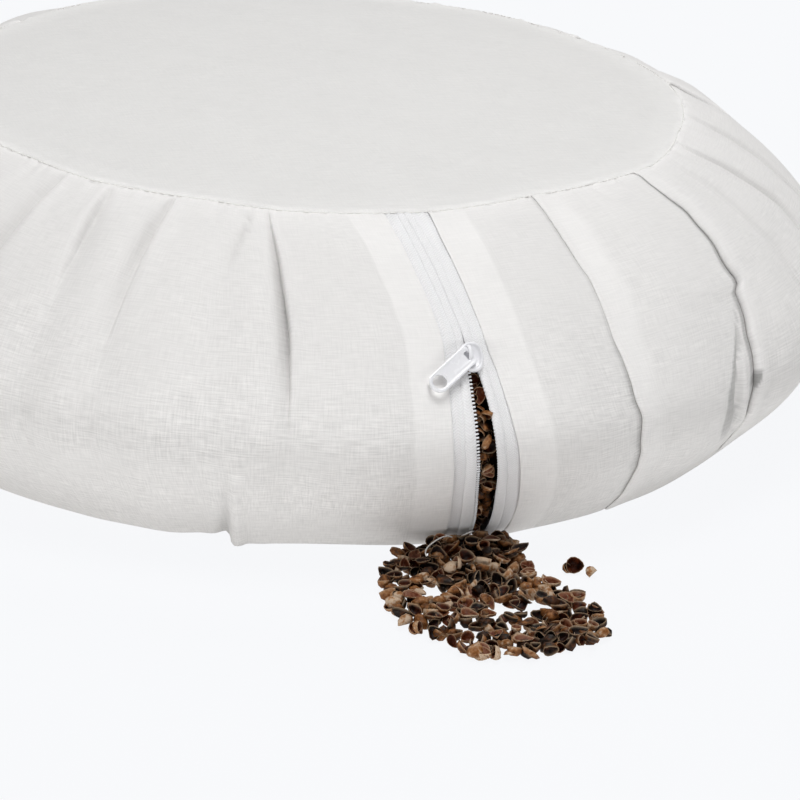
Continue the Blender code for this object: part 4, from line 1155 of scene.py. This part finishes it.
# -------------------------------- slider and pull
def seat_frame():
    """The slider's local frame on the band: x round it, y up towards the top seam, z out."""
    angle = float(aside(SLIDER_DOWN, SLIDER_ACROSS))
    here, above, below, left, right = (
        Vector(skin(angle + turned, SLIDER_DOWN + moved, SLIDER_LIFT))
        for turned, moved in ((0, 0), (0, -3), (0, 3), (-1, 0), (1, 0))
    )
    round_it = (right - left).normalized()
    out = round_it.cross((above - below).normalized()).normalized()
    local = Matrix((round_it, out.cross(round_it), out)).transposed().to_4x4()
    local.translation = here
    return local


def turns(count):
    """Even turns round a circle, in radians."""
    return [2 * math.pi * number / count for number in range(count)]


def squared_off(turn, power):
    """How far a circle reaches at a turn when it is pressed towards a square."""
    return (abs(math.cos(turn)) ** power + abs(math.sin(turn)) ** power) ** (-1 / power)


def loft_mesh(name, rings, middles=None):
    """A closed solid through rings of points in millimetres."""
    shape = bmesh.new()
    loops = [[shape.verts.new(Vector(point) * MM) for point in ring] for ring in rings]
    pairs = [(number, (number + 1) % len(rings[0])) for number in range(len(rings[0]))]
    for ring, after in zip(loops, loops[1:]):
        for number, follows in pairs:
            shape.faces.new((ring[number], ring[follows], after[follows], after[number]))
    for end, loop in enumerate((loops[0], loops[-1])):
        if middles is None:
            shape.faces.new(loop)
        else:
            middle = shape.verts.new(Vector(middles[end]) * MM)
            for number, follows in pairs:
                shape.faces.new((loop[number], loop[follows], middle))
    bmesh.ops.recalc_face_normals(shape, faces=shape.faces)
    mesh = bpy.data.meshes.new(name)
    shape.to_mesh(mesh)
    shape.free()
    return mesh


def slider_ring(inset, height):
    """The slider's outline from above, a little narrower at its lower end."""
    ring = []
    for turn in turns(56):
        x, y = math.cos(turn), math.sin(turn)
        reach, taper = squared_off(turn, 2.4), 1 + 0.1 * y
        x = x * reach * taper * (SLIDER_WIDTH / 2 - inset)
        ring.append((x, y * reach * (SLIDER_LENGTH / 2 - inset), height))
    return ring


def bridge_ring(turn):
    """The section of the bridge at a turn over its arch."""
    reach = squared_off(turn, 3)
    y = -math.cos(turn) * reach * BRIDGE_SPAN / 2 + BRIDGE_MIDDLE[1]
    z = math.sin(turn) * reach * BRIDGE_RISE + SLIDER_THICK - BRIDGE_FOOT
    outward = Vector((0, -math.cos(turn), math.sin(turn)))
    ring = []
    for angle in turns(12):
        pressed = squared_off(angle, 4)
        x = math.cos(angle) * pressed * BRIDGE_HALF[0] + BRIDGE_MIDDLE[0]
        ring.append(Vector((x, y, z)) + outward * (math.sin(angle) * pressed * BRIDGE_HALF[1]))
    return ring


def slider_mesh():
    """The slider: an oval dish with a rounded rim, and the bridge that holds the pull."""
    rings = [slider_ring(inset, height) for inset, height in SLIDER_PROFILE]
    body = loft_mesh("slider", rings, ((0, 0, 0), (0, 0, SLIDER_THICK - 0.55)))
    steps = 22
    bridge = loft_mesh("bridge", [bridge_ring(math.pi * n / steps) for n in range(steps + 1)])
    with edited(body) as shape:
        shape.from_mesh(bridge)
    body.transform(seat_frame())
    return body


def pull_ring(inset, height, steps=18):
    """The pull's outline: its far end is round and the end at the bridge has rounded corners."""
    half = PULL_WIDTH / 2
    ring = []
    for step in range(steps + 1):
        turn = math.radians(-90 + 180 * step / steps)
        x, y = math.cos(turn) * (half - inset), math.sin(turn) * (half - inset)
        ring.append((PULL_REACH + x, y, height))
    for side, begins in ((1, 90), (-1, 180)):
        for step in range(7):
            turn = math.radians(begins + 90 * step / 6)
            x = -PULL_NEAR + PULL_CORNER + math.cos(turn) * (PULL_CORNER - inset)
            y = side * (half - PULL_CORNER) + math.sin(turn) * (PULL_CORNER - inset)
            ring.append((x, y, height))
    return ring


def pull_mesh():
    """The flat pull: a raised border round its face, a hole at one end and an eye at the other."""
    pull = added("pull", loft_mesh("pull", [pull_ring(*place) for place in PULL_PROFILE]))
    cutters = []
    for x, wide, tall, power in (PULL_EYE, PULL_HOLE):
        ring = []
        for turn in turns(40):
            reach = squared_off(turn, power)
            ring.append((x + math.cos(turn) * reach * wide, math.sin(turn) * reach * tall))
        levels = [[(*place, height) for place in ring] for height in (-3.0, 3.0)]
        cutters.append(added("hole", loft_mesh("hole", levels)))
        cut = pull.modifiers.new("hole", "BOOLEAN")
        cut.operation, cut.solver, cut.object = "DIFFERENCE", "EXACT", cutters[-1]
    soften = pull.modifiers.new("soften", "BEVEL")
    soften.width, soften.segments, soften.limit_method = 0.12 * MM, 3, "ANGLE"
    soften.angle_limit = math.radians(50)
    mesh = baked(pull, *cutters)
    turned = Matrix.Rotation(math.radians(PULL_TURN), 4, "Z")
    tilted = Matrix.Rotation(math.radians(PULL_TILT), 4, "Y")
    place = Matrix.Translation(Vector((*PULL_EYE_PLACE, PULL_HEIGHT)) * MM)
    mesh.transform(seat_frame() @ place @ turned @ tilted)
    return mesh


# -------------------------------- buckwheat hulls
def hull_mesh(number, shape):
    """One husk: a thin cup with a pointed tip, a keel under it and a wavy rim."""
    outer, inner = [], []
    for share, depth in HULL_LAYERS:
        at_rim = depth == 1.0
        ring_out, ring_in = [], []
        for turn in turns(HULL_SIDES):
            ahead, beside = math.cos(turn), math.sin(turn)
            lobe = 1 + shape.lobes * math.cos(3 * turn)
            tip = 1 + shape.tip * max(0.0, ahead) ** 6
            reach = share * (1 - shape.curl * at_rim)
            x = ahead * shape.length / 2 * tip * lobe * reach
            y = beside * shape.width / 2 * lobe * reach * (1 - 0.18 * ahead)
            rise = 1 - shape.rise * abs(ahead) ** 1.5
            keel = HULL_KEEL * (abs(beside) < 0.2) * (not at_rim)
            place = Vector((x, y, shape.depth * depth * rise - keel))
            inward = Vector((-x, -y, 0)).normalized() * HULL_WALL * (0.35 if at_rim else 1.0)
            ring_out.append(place)
            ring_in.append(place + inward + Vector((0, 0, HULL_WALL * (1 - depth))))
        outer.append(ring_out)
        inner.append(ring_in)
    mesh = loft_mesh(f"hull_{number}", outer + inner[::-1], ((0, 0, 0), (0, 0, HULL_WALL)))
    # within marks the inside of the cup, where the finish paints shade
    rim, within = np.zeros((2, len(mesh.vertices)))
    rim[2 * HULL_SIDES:4 * HULL_SIDES] = 1.0
    within[3 * HULL_SIDES:6 * HULL_SIDES] = 1.0
    within[-1] = 1.0
    give(mesh, "rim", rim)
    give(mesh, "within", within)
    mesh.shade_smooth()
    return mesh


def hull_kinds():
    """The husk shapes, in a collection that the scatter tree picks from."""
    kinds = bpy.data.collections.new("hull kinds")
    for number, shape in enumerate(HULL_SHAPES):
        mesh = hull_mesh(number, shape)
        mesh.transform(Matrix.Translation((0, 0, -shape.depth * 0.5 * MM)))
        kinds.objects.link(bpy.data.objects.new(f"hull_{number}", mesh))
    return kinds


def inside_outline(x, y, outline):
    inside = False
    for (ax, ay), (bx, by) in zip(outline, outline[1:] + outline[:1]):
        if (ay > y) != (by > y) and x < ax + (y - ay) * (bx - ax) / (by - ay):
            inside = not inside
    return inside


class Pile:
    """Hulls let down on each other: it keeps the height of the pile on a fine grid."""

    CELL = 0.7
    SINK = 0.5

    def __init__(self, kinds):
        self.shapes = [
            [vertex.co.copy() for vertex in kind.data.vertices] for kind in kinds.objects
        ]
        self.heights = {}

    def drop(self, x, y, kind, turn, size):
        """The height at which this hull comes to rest at x, y, with its points and their cells."""
        turned = [(Euler(turn).to_matrix() @ point) * size for point in self.shapes[kind]]
        points = [(x + p.x / MM, y + p.y / MM, p.z / MM) for p in turned]
        cells = [(round(px / self.CELL), round(py / self.CELL)) for px, py, _ in points]
        heights = [z for _, _, z in points]
        rest = max(self.heights.get(cell, 0.0) - z for cell, z in zip(cells, heights))
        floor = max(-z for z in heights) + 0.05
        tall = max(heights) - min(heights)
        return max(floor, rest - self.SINK * tall * (rest > floor)), points, cells

    def keep(self, height, points, cells):
        for (i, j), (_, _, z) in zip(cells, points):
            for cell in ((i, j), (i + 1, j), (i, j + 1)):
                self.heights[cell] = max(self.heights.get(cell, 0.0), height + z)


def overhang(x, y):
    """Height of the cover's underside over a place on the floor; past it there is no limit."""
    radii, heights = OUTLINE[np.argmax(OUTLINE[:, 0]):-1].T
    radius = np.hypot(x, y)
    return math.inf if radius >= radii[0] else float(np.interp(-radius, -radii, heights))


def random_turn(draw):
    """How a loose hull lies: most with the cup up or on its side, some with the keel up."""
    lies = draw.random()
    if lies < 0.42:
        lean = draw.gauss(0, 0.4)
    elif lies < 0.72:
        lean = draw.uniform(0.6, 1.3)
    else:
        lean = math.pi + draw.gauss(0, 0.4)
    return (lean, draw.gauss(0, 0.3), draw.uniform(0, 2 * math.pi))


def heap_spot(draw, crest):
    """A place for a hull inside the heap's outline, clear of the bare spots."""
    xs, ys = zip(*HEAP_OUTLINE)
    crest_x, crest_y, spread = HEAP_CREST
    while True:
        if crest:
            x, y = draw.gauss(crest_x, spread), draw.gauss(crest_y, spread)
        else:
            x, y = draw.uniform(min(xs), max(xs)), draw.uniform(min(ys), max(ys))
        bare = any(
            math.hypot(x - bare_x, y - bare_y) < reach + 1.0 for bare_x, bare_y, reach in BARE_SPOTS
        )
        if inside_outline(x, y, HEAP_OUTLINE) and not bare:
            return x, y


def heap_limit(x, y, points):
    """How high a hull may reach here, under the heap's top and the cover's overhang."""
    peak_x, peak_y, spread, edge, rise = HEAP_PEAK
    away = math.hypot(x - peak_x, y - peak_y) / spread
    under = min(overhang(px, py) for px, py, _ in points) - 0.4
    return min(under, edge + rise * math.exp(-away ** 2))


def spilled_hulls(kinds):
    """The heap on the floor: a flat layer with bare spots, then more hulls towards the zip."""
    draw, pile, hulls = random.Random(HULL_SEED), Pile(kinds), []
    for number in range(HEAP_HULLS + HEAP_CREST_HULLS):
        crest = number >= HEAP_HULLS
        kind, turn = draw.randrange(len(HULL_SHAPES)), random_turn(draw)
        size = draw.uniform(0.95, 1.28)
        tries = []
        for _ in range(1 if crest else HEAP_TRIES):
            x, y = heap_spot(draw, crest)
            tries.append((x, y, *pile.drop(x, y, kind, turn, size)))
        x, y, height, points, cells = min(tries, key=lambda spot: spot[2])
        if height + max(z for _, _, z in points) <= heap_limit(x, y, points):
            pile.keep(height, points, cells)
            hulls.append(Hull((x, y, height), kind, turn, size, draw.uniform(-0.08, 1.12)))
    return hulls


def loose_hulls(kinds):
    pile = Pile(kinds)
    return [
        Hull((x, y, pile.drop(x, y, kind, turn, size)[0]), kind, turn, size, tone)
        for x, y, kind, turn, size, tone in LOOSE_HULLS
    ]


def gap_hulls():
    """Hulls that fill the parted zip, from the slider down to the floor, the deeper ones painted
    darker as shade.
    """
    draw = random.Random(HULL_SEED + 80)
    hulls = []
    for count, lift, tones_shaded_by_depth in GAP_LAYERS:
        for number in range(count):
            down = GAP_FROM + (number + draw.uniform(-0.45, 0.45)) * GAP_LENGTH / count
            left, right = (
                float(column(ZIP_ROWS, word + "_edge", down)) for word in SIDES.values()
            )
            half = max((right - left) / 2 - 0.2 - 0.3 * (lift > -5), 0.2)
            angle = aside(down, (left + right) / 2 + draw.uniform(-1, 1) * half)
            here = skin(angle, down, lift + draw.uniform(-0.4, 0.4))
            out = Vector(skin(angle, down, lift + 1.0) - here).normalized()
            out = out if draw.random() < 0.6 else -out
            lean = Vector([draw.gauss(0, 0.55) for _ in range(3)])
            turn = (out + lean).to_track_quat("Z", "X").to_matrix()
            turn = (turn @ Matrix.Rotation(draw.uniform(0, 6.28), 3, "Z")).to_euler()
            if here[2] > GAP_LOWEST * MM:
                size, tone = draw.uniform(0.85, 1.05), draw.uniform(*tones_shaded_by_depth)
                kind = draw.randrange(len(HULL_SHAPES))
                hulls.append(Hull(tuple(here / MM), kind, turn, size, tone))
    return hulls


def hull_piece(name, hulls, kinds, tree, finish, *replaced):
    """One piece of hulls, each put in its place by the scatter tree."""
    mesh = bpy.data.meshes.new("places")
    mesh.from_pydata([[value * MM for value in hull.place] for hull in hulls], [], [])
    for value, kind in HULL_VALUES:
        give(mesh, value, [getattr(hull, value) for hull in hulls], kind)
    mesh = grown(mesh, tree, {"Kinds": kinds, "Finish": finish})
    finished(name, mesh, finish, "buckwheat hull", *replaced)


def hull_core(finish):
    """The mass of hulls deep behind the parted zip, as one sheet painted near black: the darkest
    tone and the cup's painted shade all over, for the shade in there.
    """
    downs = np.arange(50, 152, 2.0)
    left = column(ZIP_ROWS, "left_edge", downs)[:, None] - 3.0
    right = column(ZIP_ROWS, "right_edge", downs)[:, None] + 3.0
    shares = np.linspace(0, 1, 9)
    lift = -CORE_DEPTH - CORE_SAG * np.abs(2 * shares - 1) ** 3
    points = on_band(left + (right - left) * shares, downs, lift)
    points[..., 2] = np.maximum(points[..., 2], 1.5 * MM)
    mesh = grid_mesh("hull_core", points)
    # Painted shade: the darkest tone, with the cup's darkening all over
    for value, level in (("rim", 0.0), ("within", 1.0), ("tone", 0.1)):
        give(mesh, value, np.full(len(mesh.vertices), level))
    finished("hull_core", mesh, finish, "buckwheat hull")


def loose_thread(finish):
    """The fine end of thread that hangs from the zip's foot over the hulls."""
    line = smooth_columns(np.array(THREAD_PATH), np.linspace(0, len(THREAD_PATH) - 1, 64)).T
    rings = []
    for number, place in enumerate(line):
        before, after = line[max(number - 1, 0)], line[min(number + 1, len(line) - 1)]
        ahead = Vector(after - before).normalized()
        aslant = ahead.cross(Vector((0, 0, 1))).normalized()
        upright = aslant.cross(ahead)
        rings.append([
            Vector(place) + (aslant * math.cos(turn) + upright * math.sin(turn)) * THREAD_THICK / 2
            for turn in turns(8)
        ])
    finished("loose_thread", loft_mesh("loose_thread", rings), finish, "cotton muslin")


# -------------------------------- finishes
class Finish(Nodes):
    """A new material: plain values on its shader's sockets, and the place its patterns read."""

    def __init__(self, name, sockets, by_cloth=False):
        self.look = bpy.data.materials.new(name)
        self.look.use_nodes = True
        super().__init__(self.look.node_tree)
        self.surface = self.tree.nodes["Principled BSDF"]
        for socket, value in sockets.items():
            self.feed(value, self.surface.inputs[socket])
        if by_cloth:
            self.place = self.node("ShaderNodeUVMap", uv_map="cloth").outputs["UV"]
        else:
            self.place = self.node("ShaderNodeTexCoord").outputs["Object"]

    def paint(self, colour):
        self.feed(colour, self.surface.inputs["Base Color"])

    def roughen(self, roughness):
        self.feed(roughness, self.surface.inputs["Roughness"])

    def emboss(self, height, strength, distance):
        given = {"Height": height, "Strength": strength, "Distance": distance}
        self.feed(self.node("ShaderNodeBump", given).outputs[0], self.surface.inputs["Normal"])

    def woven(self, weave, pitch):
        """The weave group's outputs."""
        node = self.node("ShaderNodeGroup", node_tree=weave)
        self.feed(self.place, node.inputs["Place"])
        self.feed(pitch, node.inputs["Pitch"])
        return node.outputs


def weave_group():
    """Plain weave with slubs: threads along both ways of the cloth, in a place given in metres."""
    nodes = Nodes(bpy.data.node_groups.new("plain weave", "ShaderNodeTree"))
    for label, in_out, kind in (
        ("Place", "INPUT", "Vector"), ("Pitch", "INPUT", "Float"),
        ("Threads", "OUTPUT", "Float"), ("Height", "OUTPUT", "Float"),
    ):
        nodes.tree.interface.new_socket(label, in_out=in_out, socket_type="NodeSocket" + kind)
    given = nodes.node("NodeGroupInput").outputs
    slubs_across = nodes.mottle(given["Place"], (150.0, 2300.0, 2300.0))
    slubs_down = nodes.mottle(given["Place"], (2300.0, 170.0, 2300.0))
    spread = nodes.math("MULTIPLY", nodes.mottle(given["Place"], 230.0, 1.0), 2.2)
    ways = nodes.node("ShaderNodeSeparateXYZ", {0: given["Place"]}).outputs
    waves = []
    for way in ways[:2]:
        turns = nodes.math("MULTIPLY", nodes.math("DIVIDE", way, given["Pitch"]), 2 * math.pi)
        waves.append(nodes.math("SINE", nodes.math("ADD", turns, spread)))
    crossed = nodes.math("MULTIPLY", *waves)
    slubs = nodes.plus(slubs_across, slubs_down, 0.65)
    threads = nodes.math("SUBTRACT", nodes.plus(slubs, crossed, 0.10), 0.82)
    nodes.node("NodeGroupOutput", {"Threads": threads, "Height": nodes.plus(slubs, crossed, 0.25)})
    return nodes.tree


def muslin(name, weave, single, doubled, by_cloth=True):
    """Thin unbleached cotton: whiter where it lies doubled, with slubs, a faint mottling, and
    painted shade that darkens it in troughs, under folds and in patches.
    """
    finish = Finish(
        name, {"Roughness": 0.92, "Sheen Weight": 0.12, "Specular IOR Level": 0.25}, by_cloth
    )
    work, plus = finish.math, finish.plus
    woven = finish.woven(weave, MUSLIN_PITCH)
    colour = finish.mixed(single, doubled, finish.attribute("doubled"))
    cloudy = finish.mottle(finish.place, 60.0, 3.0)
    patchy = finish.mottle(finish.place, (28.0, 45.0, 45.0), 1.0)
    strength = work("MULTIPLY", work("ADD", patchy, -0.05), finish.attribute("sheer"))
    shade = plus(1.0, woven["Threads"], plus(0.07, strength, 0.85))
    shade = plus(shade, work("SUBTRACT", cloudy, 0.5), 0.06)
    # Painted shade: the colour is darkened where the cover carries it
    painted_shade_loss = work("MULTIPLY", finish.attribute("hollow"), PAINTED_SHADE_STRENGTH)
    finish.paint(finish.shaded(colour, work("SUBTRACT", shade, painted_shade_loss)))
    finish.emboss(woven["Height"], 0.35, 0.00012)
    return finish.look


def tape_finish(weave):
    """Polyester zip tape: a close herringbone in cool white."""
    finish = Finish("zip tape herringbone", {"Roughness": 0.7, "Sheen Weight": 0.15}, True)
    woven = finish.woven(weave, TAPE_PITCH)
    ways = finish.node("ShaderNodeSeparateXYZ", {0: finish.place}).outputs
    zigzag = finish.math("PINGPONG", ways[0], HERRINGBONE_WIDTH)
    turns = finish.math("MULTIPLY", finish.math("ADD", zigzag, ways[1]), 2 * math.pi / RIB_PITCH)
    ribs = finish.math("SINE", turns)
    shade = finish.plus(finish.plus(0.97, ribs, 0.045), woven["Threads"], 0.10)
    finish.paint(finish.shaded(TAPE_WHITE, shade))
    finish.emboss(ribs, 0.5, 0.00008)
    return finish.look


def nylon_finish():
    finish = Finish("nylon coil white", {"Roughness": 0.38})
    cloudy = finish.mottle(finish.place, 900.0)
    finish.paint(finish.mixed((0.80, 0.81, 0.83), (0.90, 0.91, 0.93), cloudy))
    return finish.look


def enamel_finish():
    """White enamel over die-cast zinc: smooth, with the faint ripple of sprayed paint."""
    finish = Finish("white enamel", {"Coat Weight": 0.4, "Coat Roughness": 0.12})
    ripple = finish.mottle(finish.place, 700.0)
    finish.paint(finish.mixed((0.80, 0.80, 0.83), (0.86, 0.86, 0.885), ripple))
    finish.roughen(finish.plus(0.18, ripple, 0.16))
    finish.emboss(ripple, 0.25, 0.0001)
    return finish.look


def hull_finish():
    """Buckwheat husk: brown and satin outside, darker inside the cup as painted shade and also
    redder, with a pale thin rim.
    """
    finish = Finish("buckwheat husk", {"Specular IOR Level": 0.2})
    grain = finish.mottle(finish.place, 620.0, 5.0)
    toned = finish.plus(finish.attribute("tone"), finish.math("SUBTRACT", grain, 0.5), 1.7)
    ramp = finish.node("ShaderNodeValToRGB", {"Fac": toned})
    while len(ramp.color_ramp.elements) < len(HUSK_COLOURS):
        ramp.color_ramp.elements.new(0.5)
    for element, (position, colour) in zip(ramp.color_ramp.elements, HUSK_COLOURS):
        element.position, element.color = position, (*colour, 1.0)
    brown = ramp.outputs["Color"]
    # Painted shade: the inside of the cup is darkened, and reddened
    inner = finish.node("ShaderNodeVectorMath", {0: brown, 1: HUSK_CUP_SHADE}, operation="MULTIPLY")
    colour = finish.mixed(brown, inner.outputs[0], finish.attribute("within"))
    rim = finish.math("MULTIPLY", finish.math("POWER", finish.attribute("rim"), 3.5), 0.6)
    finish.paint(finish.mixed(colour, HUSK_RIM, rim))
    finish.roughen(finish.plus(0.3, grain, 0.4))
    finish.emboss(grain, 0.6, 0.0003)
    return finish.look


def thread_finish():
    finish = Finish("cotton thread", {"Roughness": 0.85})
    twist = finish.mottle(finish.place, (2400.0, 700.0, 2400.0))
    finish.paint(finish.mixed((0.84, 0.83, 0.80), (0.93, 0.92, 0.90), twist))
    finish.emboss(twist, 0.6, 0.0001)
    return finish.look


# -------------------------------- the studio
def studio_floor():
    """Pale paper: it lights the cushion softly, and looks evenly white to the camera."""
    mesh = bpy.data.meshes.new("studio_floor")
    corners = [(x * FLOOR_HALF, y * FLOOR_HALF, 0) for x, y in ((-1, -1), (1, -1), (1, 1), (-1, 1))]
    mesh.from_pydata(corners, [], [(0, 1, 2, 3)])
    finish = Finish("studio floor", {
        "Base Color": (0.50, 0.50, 0.50), "Roughness": 0.95, "Specular IOR Level": 0.0,
        "Emission Color": (1.0, 0.995, 0.985), "Emission Strength": 0.38,
    })
    paper = finish.node("ShaderNodeEmission", {"Color": (0.945, 0.955, 0.975), "Strength": 1.003})
    seen = finish.node("ShaderNodeLightPath").outputs["Is Camera Ray"]
    both = finish.node("ShaderNodeMixShader", {
        0: finish.math("MULTIPLY", seen, 0.92), 1: finish.surface.outputs[0], 2: paper.outputs[0],
    })
    finish.feed(both.outputs[0], finish.tree.nodes["Material Output"].inputs["Surface"])
    mesh.materials.append(finish.look)
    floor = added("studio_floor", mesh)
    floor.location.z = -FLOOR_DROP * MM
    floor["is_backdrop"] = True


def studio():
    studio_floor()
    world = bpy.data.worlds.new("studio air")
    world.use_nodes = True
    air = world.node_tree.nodes["Background"].inputs
    air["Color"].default_value, air["Strength"].default_value = AIR_TINT, AIR_STRENGTH
    bpy.context.scene.world = world
    for lamp in LAMPS:
        data = bpy.data.lights.new(lamp.name, "AREA")
        data.shape, (data.size, data.size_y) = "RECTANGLE", lamp.size
        data.energy, data.color = lamp.watts, lamp.tint
        light = added(lamp.name, data)
        light.location = lamp.place
        facing = Vector(lamp.target) - Vector(lamp.place)
        light.rotation_euler = facing.to_track_quat("-Z", "Y").to_euler()
    bpy.context.scene.view_settings.view_transform = "Standard"


def photo_camera():
    data = bpy.data.cameras.new("photo camera")
    data.sensor_width, data.lens = CAMERA_SENSOR, CAMERA_LENS
    data.clip_start, data.clip_end = 0.01, 50.0
    camera = added("photo camera", data)
    place, target = Vector(CAMERA_PLACE) * MM, Vector(CAMERA_TARGET) * MM
    look = (target - place).to_track_quat("-Z", "Y").to_matrix().to_4x4()
    rolled = look @ Matrix.Rotation(math.radians(CAMERA_ROLL), 4, "Z")
    camera.matrix_world = Matrix.Translation(place) @ rolled
    bpy.context.scene.camera = camera


# -------------------------------- putting it together
def dress():
    photo_camera()
    studio()
    weave = weave_group()
    side_cloth = muslin("muslin, side band", weave, SIDE_SINGLE, SIDE_DOUBLED)
    # The top panel's muslin is the same cloth painted a little darker, as shade
    top = muslin("muslin, top panel", weave, TOP_SINGLE_SHADED, TOP_DOUBLED_SHADED)
    base = muslin("muslin, bottom panel", weave, SIDE_SINGLE, SIDE_DOUBLED, by_cloth=False)
    tape, nylon, enamel = tape_finish(weave), nylon_finish(), enamel_finish()
    husk, thread = hull_finish(), thread_finish()

    muslin_cover(side_cloth)
    top_cloth(top)
    bottom = frame["nodes"]["bottom_panel"].data
    bottom.materials.clear()
    bottom.materials.append(base)

    for side, word in SIDES.items():
        tape_cloth("zip_tape_cloth_" + word, side, tape, "zip_tape_" + word)
    rows = row_tree()
    for side, word in SIDES.items():
        coil_teeth("coil_teeth_" + word, side, rows, nylon, "zip_coil_" + word)
    seam_stitches("top_seam_stitches", rows, thread)
    finished("slider_body", slider_mesh(), enamel, "white enamel", "zip_slider")
    pull = finished("pull_tab", pull_mesh(), enamel, "white enamel", "zip_pull")
    pull.data.set_sharp_from_angle(angle=math.radians(40))

    kinds, scatter = hull_kinds(), scatter_tree()
    hull_core(husk)
    for name, hulls, *replaced in (
        ("hulls_in_gap", gap_hulls(), "filling_in_gap"),
        ("hulls_spilled", spilled_hulls(kinds), "filling_spill"),
        ("hulls_loose", loose_hulls(kinds), *(f"loose_hull_{n}" for n in (1, 2, 3, 4))),
    ):
        hull_piece(name, hulls, kinds, scatter, husk, *replaced)
    loose_thread(thread)


dress()

sizes = {
    name: [[float(value) for value in corner] for corner in box]
    for name, box in (("cad", CAD_BOX), ("visual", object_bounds()))
}
